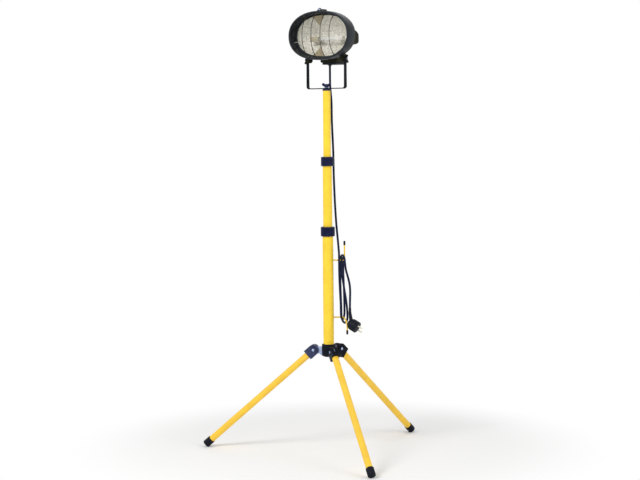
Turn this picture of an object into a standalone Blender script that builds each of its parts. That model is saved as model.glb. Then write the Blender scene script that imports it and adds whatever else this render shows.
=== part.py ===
"""Work light: an oval flood light on a yoke, on a three-legged telescopic stand.

Metres, +Z up. The floor is at z = 0 and the lamp faces -Y. The origin lies on the
floor, in the middle of the stand's footprint.
"""

import math

import bmesh
import bpy
from mathutils import Matrix, Vector

# ---------------------------------------------------------------- driving sizes
FIT = 0.0003                 # gap between pieces that touch
RUN = 0.0003                 # gap between pieces that turn or slide
ROUND_LARGE = 30             # facets round the tubes and collars
ROUND_MEDIUM = 22            # and round the lesser turned pieces
ROUND_SMALL = 14

# legs
LEG_COUNT = 3
LEG_FIRST_AZIMUTH = 82.3     # degrees from +X
LEG_SLOPE = 41.2             # degrees below the horizontal when open
LEG_LENGTH = 0.497           # pivot to foot end
LEG_RADIUS = 0.011
LEG_WALL = 0.0012
FOOT_WALL = 0.00175
FOOT_LENGTH = 0.028
FOOT_END = 0.004             # thickness of the foot's end wall
FOOT_ROUND = 0.002
FOOT_FLAT = 0.0015           # depth of the flat that stands on the floor

# hub
PIVOT_RADIUS = 0.0504
HUB_RADIUS = 0.0225
HUB_RISE = 0.0205            # hub top above the pivots
HUB_HEIGHT = 0.039
HUB_CHAMFER = 0.0015
LUG_THICKNESS = 0.005
LUG_BELOW = 0.017
LUG_ABOVE = 0.012
LUG_FOOT = 0.0035            # straight run of the lug's lower edge
RIVET_RADIUS = 0.002
RIVET_HEAD = 0.0014
RIVET_DROP = 0.004           # hub rivet below the pivots
RIVET_AZIMUTH = -52.2
END_FLANGE = 0.003
FORK_WIDTH = 0.026
FORK_HEIGHT = 0.035
FORK_REACH = 0.026           # pivot to the fork's flat end
FORK_SOCKET = 0.012          # depth of the leg in the fork
FORK_BEVEL = 0.0012
PIN_RADIUS = 0.003
PIN_HEAD_RADIUS = 0.0047
PIN_HEAD_HEIGHT = 0.0014

# mast
LOWER_RADIUS = 0.0175
LOWER_LENGTH = 0.4095
MIDDLE_RADIUS = 0.015
MIDDLE_LENGTH = 0.400
MIDDLE_TOP = 0.956           # height of the middle tube's top as posed
UPPER_RADIUS = 0.0125
UPPER_LENGTH = 0.4180
UPPER_TOP = 1.1817           # height of the upper tube's top as posed
MAST_WALL = 0.0012
BUSH_LENGTH = 0.020
COLLAR_WALL = 0.0055         # lower collar's wall over its tube
LOWER_COLLAR_HEIGHT = 0.031
UPPER_COLLAR_HEIGHT = 0.030
COLLAR_SKIRT = 0.018         # collar's length over the outer tube
COLLAR_LIP = 0.004
COLLAR_SHOULDER = 0.004
COLLAR_FLUTES = 18
FLUTE_RADIUS = 0.0016
CLAMP_RING_HEIGHT = 0.007
PLUG_FLANGE_RADIUS = 0.0135
PLUG_FLANGE_HEIGHT = 0.005
PLUG_INSERT = 0.020

# swivel and yoke
STUD_RADIUS = 0.004
STUD_HEAD_RADIUS = 0.007
STUD_HEAD_HEIGHT = 0.004
STUD_RISE = 0.021            # stud above the yoke's underside
YOKE_HALF_WIDTH = 0.0736     # to the middle of the strap
YOKE_STRAP = 0.003
YOKE_BREADTH = 0.013
YOKE_BEND = 0.009            # outer bend radius
YOKE_END = 0.009             # arm above the tilt bolt
TILT_RISE = 0.095            # tilt bolt above the yoke's underside
TILT_BOLT_RADIUS = 0.003
TILT_BOLT_HEAD_RADIUS = 0.0055
TILT_BOLT_HEAD = 0.003
BOLT_PROUD = 0.002
WASHER_HEIGHT = 0.0012
WASHER_RADIUS = 0.0085
WING_SPAN = 0.015            # nut centre to wing tip
WING_BOSS_RADIUS = 0.0068
WING_BOSS_HEIGHT = 0.010
WING_THICKNESS = 0.0035
WING_TIP_RADIUS = 0.0048
WING_ROUND = 0.0015
WING_LIFT = 0.0095           # wing tip centre above the nut's seat
SWIVEL_WING_AZIMUTH = 34.8
TILT_WING_ANGLE = 8.0

# head
HEAD_RISE = 0.0758           # oval's centre above the tilt bolts
OVAL_HALF_WIDTH = 0.1175
OVAL_HALF_HEIGHT = 0.0785
OVAL_POWER = 2.2
OVAL_POINTS = 40
BEZEL_FRONT = -0.048
BEZEL_RIM = 0.0070
BEZEL_LIP = 0.0035           # width of the ledge that holds the glass
HOOD_DEPTH = 0.034           # front edge to glass
BEZEL_ROUND = 0.002
BEZEL_LEDGE = 0.0025
GLASS_THICKNESS = 0.004
GASKET_THICKNESS = 0.0016
HOUSING_WALL = 0.003
HOUSING_DEPTH = 0.060        # behind the bezel
HOUSING_BACK_WIDTH = 0.060
HOUSING_BACK_HEIGHT = 0.039
HOUSING_POWER = 1.6
HOUSING_STEPS = 6
REAR_HALF_WIDTH = 0.058
REAR_HALF_HEIGHT = 0.0265
REAR_DEPTH = 0.060
REAR_DROP = 0.0016
REAR_POWER = 6.0
REAR_SLOPE = 0.006           # how far the rear cover's top end slopes down, by half
REAR_FINS = 7
FIN_MARGIN = 0.008
FIN_THICKNESS = 0.0022
FIN_HEIGHT = 0.003
TAB_HALF_WIDTH = 0.0115
TAB_HOLE_RISE = 0.0035       # screw above the oval's top
TAB_SETBACK = 0.0135
TAB_THICKNESS = 0.004
TAB_TOP_RADIUS = 0.0055
SCREW_RADIUS = 0.0015
SCREW_HEAD_RADIUS = 0.0030
SCREW_HEAD = 0.0014
SCREW_LENGTH = 0.009
PILLAR_RADIUS = 0.0028
PILLAR_ROOT = 0.010
EAR_THICKNESS = 0.011
EAR_RADIUS = 0.0105
EAR_SUNK = 0.019             # ear's root above the oval's bottom
BOX_HALF_WIDTH = 0.032
BOX_FRONT = 0.010
BOX_BACK = 0.072
BOX_DROP = 0.016             # box bottom below the tilt bolts
BOX_LID = 0.006
BOX_SUNK = 0.022             # box top above the oval's bottom
BOX_ROUND = 0.003
BOX_STEP = 0.005
GUARD_WIRE_RADIUS = 0.0013
GUARD_PITCH = 0.0352
GUARD_COUNT = 4
GUARD_SETBACK = 0.014        # wire ends behind the front edge
GUARD_BOW = 0.026
GUARD_CROSS_DROP = 0.020
GUARD_STEPS = 10
GUARD_POWER = 2.6
REFLECTOR_THICKNESS = 0.0008
REFLECTOR_DEPTH = 0.043
REFLECTOR_BACK_WIDTH = 0.062
REFLECTOR_BACK_HEIGHT = 0.026
REFLECTOR_POWER = 1.5
REFLECTOR_STEPS = 5
LAMP_LENGTH = 0.078
LAMP_RADIUS = 0.0055
LAMP_DEPTH = 0.020           # lamp axis behind the glass
LAMP_DROP = 0.009            # lamp axis below the oval's centre
LAMP_NECK = 0.0035           # radius of the lamp's end caps
HOLDER_ROUND = 0.0012
HOLDER_FOOT = 0.018
HOLDER_LENGTH = 0.034
HOLDER_HEIGHT = 0.015
HOLDER_OVERLAP = 0.008       # lamp end inside its holder

# hooks, cord and plug
HOOK_RADIUS = 0.0024
UPPER_HOOK_Z = 0.631
LOWER_HOOK_Z = 0.444
HOOK_AZIMUTH = 34.8
HOOK_CAP_RADIUS = 0.0034
HOOK_CAP_LENGTH = 0.0135
CORD_DIAMETER = 0.0072
GLAND_Y = 0.0200             # cord's exit behind the mast's axis
GLAND_RADIUS = 0.0058
GLAND_LENGTH = 0.004
FOLD_RADIUS = 0.0222         # 3.1 cord diameters
WAIST_RADIUS = 0.0130
RUN_STEPS = 6
FOLD_STEPS = 6
HANK_CLIMB = 0.0088          # second fold above the first
HANK_DROP = 0.0110           # second fold below the first
HANK_SLACK = 0.0014          # least room between cord and hook
PLUG_RADIUS = 0.019
PLUG_LENGTH = 0.037
PLUG_PIN_RADIUS = 0.0024
PLUG_PIN_LENGTH = 0.019
PLUG_PIN_SPACING = 0.019
PLUG_PIN_SEAT = 0.006
PLUG_ROUND = 0.002
PLUG_ENTRY_Z = 0.477         # where the cord enters the strain relief
PLUG_DEPTH = 0.032           # the last run in front of the mast's axis
PLUG_CENTRE = (0.0795, -0.0440, 0.4235)
PLUG_AIM = (0.78, -0.42, -0.46)
PLUG_SPREAD = (0.40, 0.30, -0.80)

# ---------------------------------------------------------------- derived places
SLOPE = math.radians(LEG_SLOPE)
RIVET_ANGLE = math.radians(RIVET_AZIMUTH)
FOOT_RADIUS = LEG_RADIUS + FIT + FOOT_WALL
PIVOT_Z = LEG_LENGTH * math.sin(SLOPE) + FOOT_RADIUS * math.cos(SLOPE) - FOOT_FLAT
HUB_TOP = PIVOT_Z + HUB_RISE
HUB_BOTTOM = HUB_TOP - HUB_HEIGHT
LOWER_BOTTOM = HUB_BOTTOM + 0.001
LOWER_TOP = LOWER_BOTTOM + LOWER_LENGTH
MIDDLE_BOTTOM = MIDDLE_TOP - MIDDLE_LENGTH
UPPER_BOTTOM = UPPER_TOP - UPPER_LENGTH
YOKE_Z = UPPER_TOP + PLUG_FLANGE_HEIGHT + 2 * FIT
TILT_Z = YOKE_Z + TILT_RISE
HEAD_Z = TILT_Z + HEAD_RISE
GLASS_Y = BEZEL_FRONT + HOOD_DEPTH
BEZEL_BACK = GLASS_Y + GLASS_THICKNESS + FIT + REFLECTOR_THICKNESS
HOUSING_FRONT = BEZEL_BACK + FIT
HOUSING_BACK = HOUSING_FRONT + HOUSING_DEPTH
YOKE_INSIDE = YOKE_HALF_WIDTH - YOKE_STRAP / 2
YOKE_OUTSIDE = YOKE_HALF_WIDTH + YOKE_STRAP / 2
BOX_BOTTOM = TILT_Z - BOX_DROP
CORD_RADIUS = CORD_DIAMETER / 2


def leg_azimuths():
    """The direction of each leg seen from above, in radians."""
    return [math.radians(LEG_FIRST_AZIMUTH + k * 360 / LEG_COUNT) for k in range(LEG_COUNT)]


def footprint_middle():
    """The middle of the stand's box on the floor, seen from the mast's axis."""
    reach = PIVOT_RADIUS + LEG_LENGTH * math.cos(SLOPE)
    middle = []
    for turn in (0, -math.pi / 2):
        along = [math.cos(a + turn) for a in leg_azimuths()]
        rims = [FOOT_RADIUS * math.sqrt(1 - (c * math.cos(SLOPE)) ** 2) for c in along]
        low = min(reach * c - r for c, r in zip(along, rims))
        high = max(reach * c + r for c, r in zip(along, rims))
        middle.append((low + high) / 2)
    return Vector((middle[0], middle[1], 0))


SHIFT = Matrix.Translation(-footprint_middle())

# ---------------------------------------------------------------- scene and helpers
for old in list(bpy.data.objects):
    bpy.data.objects.remove(old, do_unlink=True)

PARTS = bpy.data.collections.new("work_light")
CUTTERS = bpy.data.collections.new("cutters")
bpy.context.scene.collection.children.link(PARTS)
bpy.context.scene.collection.children.link(CUTTERS)

FINISHES = {
    "yellow": ((0.93, 0.60, 0.06), 0.35, 0.0),
    "leg_yellow": ((0.93, 0.50, 0.04), 0.38, 0.0),
    "black": ((0.02, 0.022, 0.03), 0.45, 0.0),
    "rubber": ((0.015, 0.015, 0.018), 0.7, 0.0),
    "zinc": ((0.62, 0.66, 0.75), 0.35, 1.0),
    "silver": ((0.8, 0.8, 0.78), 0.25, 1.0),
    "glass": ((0.9, 0.93, 0.95), 0.05, 0.0),
    "ceramic": ((0.75, 0.68, 0.52), 0.6, 0.0),
    "brass": ((0.72, 0.6, 0.35), 0.3, 1.0),
}


def finish_material(name, finish):
    """A Principled material for one sub-part."""
    colour, roughness, metallic = FINISHES[finish]
    material = bpy.data.materials.new(name)
    material.use_nodes = True
    shader = material.node_tree.nodes["Principled BSDF"]
    shader.inputs["Base Color"].default_value = (*colour, 1.0)
    shader.inputs["Roughness"].default_value = roughness
    shader.inputs["Metallic"].default_value = metallic
    return material


def body(name, x=0.0, y=0.0, z=0.0):
    """An empty on a joint's axis, which carries the pieces that move together."""
    empty = bpy.data.objects.new("body_" + name, None)
    PARTS.objects.link(empty)
    empty.matrix_world = SHIFT @ Matrix.Translation((x, y, z))
    bpy.context.view_layer.update()
    return empty


def place(obj, finish, carrier, matrix=None):
    """Gives a sub-part its material and place, and puts it on its body."""
    PARTS.objects.link(obj)
    obj.data.materials.append(finish_material(obj.name, finish))
    obj.parent = carrier
    obj.matrix_parent_inverse = carrier.matrix_world.inverted()
    obj.matrix_world = SHIFT @ (matrix or Matrix())
    return obj


def along(direction, at=(0, 0, 0)):
    """A matrix that turns +Z to a direction and moves it to a point."""
    turn = Vector(direction).to_track_quat("Z", "Y").to_matrix().to_4x4()
    return Matrix.Translation(at) @ turn


def spin(azimuth, z=0.0):
    """A matrix that turns +X to an azimuth, at a height on the mast's axis."""
    return Matrix.Translation((0, 0, z)) @ Matrix.Rotation(azimuth, 4, "Z")


def lathe(name, profile, ring=False, steps=ROUND_MEDIUM):
    """A turned piece: the profile's points are (radius, height), outer side first."""
    mesh = bpy.data.meshes.new(name)
    edges = [(i, i + 1) for i in range(len(profile) - 1)]
    if ring:
        edges.append((len(profile) - 1, 0))
    mesh.from_pydata([(r, 0, z) for r, z in profile], edges, [])
    obj = bpy.data.objects.new(name, mesh)
    turned = obj.modifiers.new("turn", "SCREW")
    turned.angle = 2 * math.pi
    turned.steps = steps
    turned.render_steps = steps
    turned.use_merge_vertices = True
    turned.merge_threshold = 0.00001
    turned.use_smooth_shade = True
    return obj


def ring_profile(outer, inner, bottom, top, chamfer=0.0):
    """The section of a plain ring, for lathe."""
    return [
        (outer - chamfer, top),
        (outer, top - chamfer),
        (outer, bottom + chamfer),
        (outer - chamfer, bottom),
        (inner, bottom),
        (inner, top),
    ] if chamfer else [(outer, top), (outer, bottom), (inner, bottom), (inner, top)]


def solid_profile(radius, bottom, top, chamfer=0.0):
    """The section of a plain round bar, for lathe."""
    if not chamfer:
        return [(0, top), (radius, top), (radius, bottom), (0, bottom)]
    return [
        (0, top),
        (radius - chamfer, top),
        (radius, top - chamfer),
        (radius, bottom + chamfer),
        (radius - chamfer, bottom),
        (0, bottom),
    ]


def wire(name, points, radius, sides=2, tapers=None):
    """A wire or cord through its points. tapers gives a share of the radius at each."""
    curve = bpy.data.curves.new(name, "CURVE")
    curve.dimensions = "3D"
    curve.bevel_depth = radius
    curve.bevel_resolution = sides
    curve.use_fill_caps = True
    line = curve.splines.new("POLY")
    line.points.add(len(points) - 1)
    for k, (point, at) in enumerate(zip(line.points, points)):
        point.co = (*at, 1.0)
        point.radius = tapers[k] if tapers else 1.0
    line.use_smooth = True
    return bpy.data.objects.new(name, curve)


def plate(name, outlines, thickness):
    """A flat piece from closed outlines in its XY plane, the first one the outside."""
    curve = bpy.data.curves.new(name, "CURVE")
    curve.dimensions = "2D"
    curve.fill_mode = "BOTH"
    curve.extrude = thickness / 2
    for outline in outlines:
        line = curve.splines.new("POLY")
        line.points.add(len(outline) - 1)
        line.use_cyclic_u = True
        for point, (x, y) in zip(line.points, outline):
            point.co = (x, y, 0, 1)
    return bpy.data.objects.new(name, curve)


def as_mesh(obj):
    """The closed mesh of a curve or of an object with modifiers, under the same name."""
    CUTTERS.objects.link(obj)
    bpy.context.view_layer.update()
    seen = obj.evaluated_get(bpy.context.evaluated_depsgraph_get())
    mesh = bpy.data.meshes.new_from_object(seen)
    name = obj.name
    bpy.data.objects.remove(obj, do_unlink=True)
    model = bmesh.new()
    model.from_mesh(mesh)
    bmesh.ops.remove_doubles(model, verts=model.verts, dist=0.000002)
    bmesh.ops.recalc_face_normals(model, faces=model.faces)
    model.to_mesh(mesh)
    model.free()
    mesh.materials.clear()
    return bpy.data.objects.new(name, mesh)


def combine(target, tool, matrix=None, operation="DIFFERENCE"):
    """Cuts or joins a tool shape at a place in the target's own frame."""
    tool = as_mesh(tool)
    tool.name = "cutter_" + target.name
    tool.data.transform(matrix or Matrix())
    CUTTERS.objects.link(tool)
    tool.hide_render = True
    tool.display_type = "WIRE"
    change = target.modifiers.new(operation.lower(), "BOOLEAN")
    change.operation = operation
    change.object = tool
    tool.parent = target
    return target


def loft(name, rings, closed=False):
    """A closed surface through rings of points: capped at both ends, or back to the first."""
    mesh = bpy.data.meshes.new(name)
    model = bmesh.new()
    rows = [[model.verts.new(p) for p in ring] for ring in rings]
    count = len(rows[0])
    pairs = list(zip(rows, rows[1:]))
    if closed:
        pairs.append((rows[-1], rows[0]))
    else:
        model.faces.new(rows[0])
        model.faces.new(rows[-1])
    for one, two in pairs:
        for k in range(count):
            n = (k + 1) % count
            model.faces.new((one[k], one[n], two[n], two[k]))
    bmesh.ops.recalc_face_normals(model, faces=model.faces)
    model.to_mesh(mesh)
    model.free()
    mesh.shade_smooth()
    mesh.set_sharp_from_angle(angle=math.radians(35))
    return bpy.data.objects.new(name, mesh)


def oval(half_width, half_height, y, power=None, z=None, count=None):
    """A ring of points round a rounded oval, in a plane across the lamp's axis."""
    power = power or OVAL_POWER
    count = count or OVAL_POINTS
    ring = []
    for k in range(count):
        a = 2 * math.pi * k / count
        c, s = math.cos(a), math.sin(a)
        x = half_width * math.copysign(abs(c) ** (2 / power), c)
        up = half_height * math.copysign(abs(s) ** (2 / power), s)
        ring.append((x, y, (HEAD_Z if z is None else z) + up))
    return ring


def arc(cx, cy, radius, start, end, steps):
    """Points on an arc, with its angles in degrees."""
    points = []
    for k in range(steps + 1):
        a = math.radians(start + (end - start) * k / steps)
        points.append((cx + radius * math.cos(a), cy + radius * math.sin(a)))
    return points


def block(name, x0, x1, y0, y1, z0, z1, bevel=0.0, segments=2):
    """A box between its corners, with its edges rounded."""
    mesh = bpy.data.meshes.new(name)
    model = bmesh.new()
    bmesh.ops.create_cube(model, size=1.0)
    size = Matrix.Diagonal((x1 - x0, y1 - y0, z1 - z0, 1))
    middle = Matrix.Translation(((x0 + x1) / 2, (y0 + y1) / 2, (z0 + z1) / 2))
    model.transform(middle @ size)
    if bevel:
        bmesh.ops.bevel(
            model, geom=model.edges, offset=bevel, segments=segments,
            profile=0.5, affect="EDGES",
        )
    model.to_mesh(mesh)
    model.free()
    return bpy.data.objects.new(name, mesh)


def smooth_path(points, spacing):
    """Points about the spacing apart on a smooth curve through the chosen points."""
    knots = [Vector(p) for p in points]
    knots = [2 * knots[0] - knots[1]] + knots + [2 * knots[-1] - knots[-2]]
    path = []
    for k in range(1, len(knots) - 2):
        a, b, c, d = knots[k - 1:k + 3]
        steps = max(1, round((c - b).length / spacing))
        for s in range(steps):
            t = s / steps
            path.append(
                0.5 * (2 * b + (c - a) * t + (2 * a - 5 * b + 4 * c - d) * t ** 2
                       + (3 * b - a - 3 * c + d) * t ** 3)
            )
    path.append(knots[-2])
    return path


def cylinder(name, radius, start, end, steps=ROUND_SMALL):
    """A round bar between two points."""
    start, end = Vector(start), Vector(end)
    mesh = bpy.data.meshes.new(name)
    model = bmesh.new()
    bmesh.ops.create_cone(
        model, cap_ends=True, segments=steps,
        radius1=radius, radius2=radius, depth=(end - start).length,
    )
    model.transform(along(end - start, (start + end) / 2))
    model.to_mesh(mesh)
    model.free()
    return bpy.data.objects.new(name, mesh)


UPRIGHT = Matrix.Rotation(math.pi / 2, 4, "X")       # a plate's XY plane to the XZ plane


# ---------------------------------------------------------------- the stand
def build_hub(root):
    """The black hub, its rivet and the three steel lugs that carry the legs."""
    hub = as_mesh(lathe("hub_collar", ring_profile(
        HUB_RADIUS, LOWER_RADIUS + FIT, HUB_BOTTOM, HUB_TOP, HUB_CHAMFER), ring=True, steps=ROUND_LARGE))
    aim = Vector((math.cos(RIVET_ANGLE), math.sin(RIVET_ANGLE), 0))
    low = aim * (LOWER_RADIUS + 2 * FIT)
    seat = aim * (HUB_RADIUS + FIT)
    height = Vector((0, 0, PIVOT_Z - RIVET_DROP))
    combine(hub, cylinder("bore", RIVET_RADIUS + FIT, height, height + 2 * seat))
    place(hub, "black", root)
    shaft = (seat - low).length
    rivet = lathe("hub_rivet", [
        (0, shaft + RIVET_HEAD), (RIVET_RADIUS, shaft + RIVET_HEAD),
        (RIVET_RADIUS + RIVET_HEAD, shaft + RIVET_HEAD / 2), (RIVET_RADIUS + RIVET_HEAD, shaft),
        (RIVET_RADIUS, shaft), (RIVET_RADIUS, 0), (0, 0)], steps=ROUND_SMALL)
    place(rivet, "zinc", root, along(aim, low + height))
    for k, azimuth in enumerate(leg_azimuths()):
        inner = HUB_RADIUS + FIT
        outline = [
            (inner, LUG_ABOVE), (inner, -LUG_BELOW), (inner + LUG_FOOT, -LUG_BELOW),
            (inner + LUG_FOOT + LUG_BELOW - LUG_ABOVE, -LUG_ABOVE)]
        outline += arc(PIVOT_RADIUS, 0, LUG_ABOVE, -90, 90, 12)
        hole = arc(PIVOT_RADIUS, 0, PIN_RADIUS + FIT, 0, 345, 15)
        lug = plate(f"hub_lug_{k + 1}", [outline, hole], LUG_THICKNESS)
        place(lug, "zinc", root, spin(azimuth, PIVOT_Z) @ UPRIGHT)


def build_leg(k, azimuth, carrier):
    """One leg: fork, rivet pin, tube and rubber foot, along its own +X."""
    frame = spin(azimuth, PIVOT_Z) @ Matrix.Translation((PIVOT_RADIUS, 0, 0))
    frame = frame @ Matrix.Rotation(SLOPE, 4, "Y")
    half = FORK_HEIGHT / 2
    outline = arc(0, 0, half, 90, 270, 14) + [(FORK_REACH, -half), (FORK_REACH, half)]
    fork = as_mesh(plate(f"leg_fork_{k}", [outline], FORK_WIDTH))
    fork.data.transform(UPRIGHT)
    slot_end = LUG_ABOVE + 2 * RUN
    slot_half = LUG_THICKNESS / 2 + RUN
    combine(fork, block("slot", -2 * half, slot_end, -slot_half, slot_half, -2 * half, 2 * half))
    socket = FORK_REACH - FORK_SOCKET
    combine(fork, cylinder("bore", LEG_RADIUS + FIT, (socket, 0, 0), (2 * FORK_REACH, 0, 0),
                           ROUND_MEDIUM))
    combine(fork, cylinder(
        "bore", PIN_RADIUS + FIT, (0, -FORK_WIDTH, 0), (0, FORK_WIDTH, 0)))
    place(fork, "black", carrier, frame)

    reach = FORK_WIDTH / 2 + FIT
    head = PIN_HEAD_HEIGHT
    pin = lathe(f"leg_pin_{k}", [
        (0, reach + head), (PIN_HEAD_RADIUS - head, reach + head),
        (PIN_HEAD_RADIUS, reach + head / 2), (PIN_HEAD_RADIUS, reach),
        (PIN_RADIUS, reach), (PIN_RADIUS, -reach), (PIN_HEAD_RADIUS, -reach),
        (PIN_HEAD_RADIUS, -reach - head / 2), (PIN_HEAD_RADIUS - head, -reach - head),
        (0, -reach - head)], steps=ROUND_SMALL)
    place(pin, "zinc", carrier, frame @ along((0, 1, 0)))

    lengthwise = frame @ along((1, 0, 0))
    tube = lathe(f"leg_tube_{k}", ring_profile(
        LEG_RADIUS, LEG_RADIUS - LEG_WALL, socket + FIT, LEG_LENGTH - FOOT_END - FIT),
        ring=True, steps=ROUND_MEDIUM)
    place(tube, "leg_yellow", carrier, lengthwise)

    inner = LEG_RADIUS + FIT
    corner = arc(LEG_LENGTH - FOOT_ROUND, FOOT_RADIUS - FOOT_ROUND, FOOT_ROUND, 0, 90, 3)
    foot = as_mesh(lathe(f"leg_foot_{k}", [(0, LEG_LENGTH)] + [(r, z) for z, r in corner] + [
        (FOOT_RADIUS, LEG_LENGTH - FOOT_LENGTH), (inner, LEG_LENGTH - FOOT_LENGTH),
        (inner, LEG_LENGTH - FOOT_END), (0, LEG_LENGTH - FOOT_END)], steps=ROUND_MEDIUM))
    spread = PIVOT_RADIUS + LEG_LENGTH * math.cos(SLOPE)
    x, y = spread * math.cos(azimuth), spread * math.sin(azimuth)
    size = 2 * FOOT_LENGTH
    floor = block("floor", x - size, x + size, y - size, y + size, -size, 0)
    combine(foot, floor, lengthwise.inverted())
    place(foot, "rubber", carrier, lengthwise)


def twist_collar(name, tube_radius, inner_radius, tube_top, height, carrier):
    """A fluted collar that turns to clamp the inner tube at the outer tube's top."""
    outer = tube_radius + COLLAR_WALL
    low = tube_top - COLLAR_SKIRT
    top = low + height
    collar = as_mesh(lathe(name, [
        (outer - COLLAR_SHOULDER / 2, top), (outer, top - COLLAR_SHOULDER),
        (outer, low + RUN), (outer - RUN, low),
        (tube_radius + RUN, low), (tube_radius + RUN, top - COLLAR_LIP),
        (inner_radius + RUN, top - COLLAR_LIP), (inner_radius + RUN, top)],
        ring=True, steps=ROUND_LARGE))
    tools = bpy.data.meshes.new("flutes")
    model = bmesh.new()
    for k in range(COLLAR_FLUTES):
        angle = 2 * math.pi * k / COLLAR_FLUTES
        bmesh.ops.create_cone(
            model, cap_ends=True, segments=6, radius1=FLUTE_RADIUS, radius2=FLUTE_RADIUS,
            depth=height - 2 * COLLAR_SHOULDER,
            matrix=Matrix.Translation((
                outer * math.cos(angle), outer * math.sin(angle), (low + top) / 2)))
    model.to_mesh(tools)
    model.free()
    combine(collar, bpy.data.objects.new("flutes", tools))
    place(collar, "black", carrier)


def build_mast(root, middle, upper, lower_lock, upper_lock):
    """The three telescoping tubes, their bushes, clamp rings, collars and end plugs."""
    place(lathe("lower_tube", ring_profile(
        LOWER_RADIUS, LOWER_RADIUS - MAST_WALL, LOWER_BOTTOM, LOWER_TOP), ring=True, steps=ROUND_LARGE),
        "yellow", root)
    place(lathe("middle_tube", ring_profile(
        MIDDLE_RADIUS, MIDDLE_RADIUS - MAST_WALL, MIDDLE_BOTTOM, MIDDLE_TOP),
        ring=True, steps=ROUND_LARGE), "yellow", middle)
    place(lathe("upper_tube", ring_profile(
        UPPER_RADIUS, UPPER_RADIUS - MAST_WALL, UPPER_BOTTOM, UPPER_TOP), ring=True, steps=ROUND_LARGE),
        "yellow", upper)
    place(lathe("lower_end_plug", [
        (0, LOWER_BOTTOM + PLUG_INSERT), (LOWER_RADIUS - MAST_WALL - FIT, LOWER_BOTTOM + PLUG_INSERT),
        (LOWER_RADIUS - MAST_WALL - FIT, LOWER_BOTTOM - FIT), (LOWER_RADIUS, LOWER_BOTTOM - FIT),
        (LOWER_RADIUS, LOWER_BOTTOM - FIT - END_FLANGE), (0, LOWER_BOTTOM - FIT - END_FLANGE)],
        steps=ROUND_MEDIUM), "black", root)
    place(lathe("middle_bush", ring_profile(
        LOWER_RADIUS - MAST_WALL - RUN, MIDDLE_RADIUS + FIT, MIDDLE_BOTTOM,
        MIDDLE_BOTTOM + BUSH_LENGTH), ring=True, steps=ROUND_MEDIUM), "black", middle)
    place(lathe("upper_bush", ring_profile(
        MIDDLE_RADIUS - MAST_WALL - RUN, UPPER_RADIUS + FIT, UPPER_BOTTOM,
        UPPER_BOTTOM + BUSH_LENGTH), ring=True, steps=ROUND_MEDIUM), "black", upper)
    for name, outer, inner, top, carrier in (
            ("lower_clamp_ring", LOWER_RADIUS, MIDDLE_RADIUS, LOWER_TOP, root),
            ("upper_clamp_ring", MIDDLE_RADIUS, UPPER_RADIUS, MIDDLE_TOP, middle)):
        place(lathe(name, ring_profile(
            outer, inner + RUN, top + FIT, top + FIT + CLAMP_RING_HEIGHT),
            ring=True, steps=ROUND_MEDIUM), "black", carrier)
    twist_collar("lower_collar", LOWER_RADIUS, MIDDLE_RADIUS, LOWER_TOP,
                 LOWER_COLLAR_HEIGHT, lower_lock)
    twist_collar("upper_collar", MIDDLE_RADIUS, UPPER_RADIUS, MIDDLE_TOP,
                 UPPER_COLLAR_HEIGHT, upper_lock)

    flange = UPPER_TOP + FIT
    insert = UPPER_RADIUS - MAST_WALL - FIT
    place(lathe("upper_end_plug", [
        (PLUG_FLANGE_RADIUS, flange + PLUG_FLANGE_HEIGHT), (PLUG_FLANGE_RADIUS, flange),
        (insert, flange), (insert, UPPER_TOP - PLUG_INSERT),
        (STUD_RADIUS + FIT, UPPER_TOP - PLUG_INSERT),
        (STUD_RADIUS + FIT, flange + PLUG_FLANGE_HEIGHT)], ring=True, steps=ROUND_MEDIUM),
        "black", upper)
    head = UPPER_TOP - PLUG_INSERT - FIT
    place(lathe("swivel_stud", [
        (0, YOKE_Z + STUD_RISE), (STUD_RADIUS, YOKE_Z + STUD_RISE), (STUD_RADIUS, head),
        (STUD_HEAD_RADIUS, head), (STUD_HEAD_RADIUS, head - STUD_HEAD_HEIGHT),
        (0, head - STUD_HEAD_HEIGHT)], steps=ROUND_SMALL), "zinc", upper)


def rack(u, v, z):
    """A point beside the mast: u outward along the hooks, v square to them, z up."""
    turn = math.radians(HOOK_AZIMUTH)
    c, s = math.cos(turn), math.sin(turn)
    return Vector((u * c - v * s, u * s + v * c, z))


def build_hooks(root):
    """The two wire hooks on the lower tube, that the cord is wound on, and their tips."""
    start = LOWER_RADIUS + FIT
    up = UPPER_HOOK_Z
    down = LOWER_HOOK_Z
    routes = {
        "upper": [(start, 0, up), (0.030, 0, up), (0.0475, 0, up), (0.0515, 0, up + 0.0013),
                  (0.0534, 0, up + 0.0050), (0.0538, 0, up + 0.020), (0.0538, 0, up + 0.062)],
        "lower": [(start, 0, down), (0.030, 0, down), (0.0425, 0, down),
                  (0.0490, -0.0080, down - 0.0005), (0.0550, -0.0220, down - 0.0055),
                  (0.0590, -0.0305, down - 0.0160), (0.0603, -0.0325, down - 0.0300),
                  (0.0605, -0.0328, down - 0.0520)],
    }
    for name, route in routes.items():
        path = [rack(*p) for p in smooth_path(route, 0.004)]
        place(wire(f"{name}_hook", path, HOOK_RADIUS, 1), "yellow", root)
        aim = (path[-1] - path[-2]).normalized()
        inner = HOOK_RADIUS + FIT
        wall = HOOK_CAP_RADIUS - inner
        cap = lathe(f"{name}_hook_cap", [
            (0, wall + FIT), (inner, wall + FIT), (HOOK_CAP_RADIUS, 0),
            (HOOK_CAP_RADIUS, wall - HOOK_CAP_LENGTH), (inner, wall - HOOK_CAP_LENGTH),
            (inner, FIT), (0, FIT)], steps=ROUND_SMALL)
        place(cap, "black", root, along(aim, path[-1]))


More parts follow.
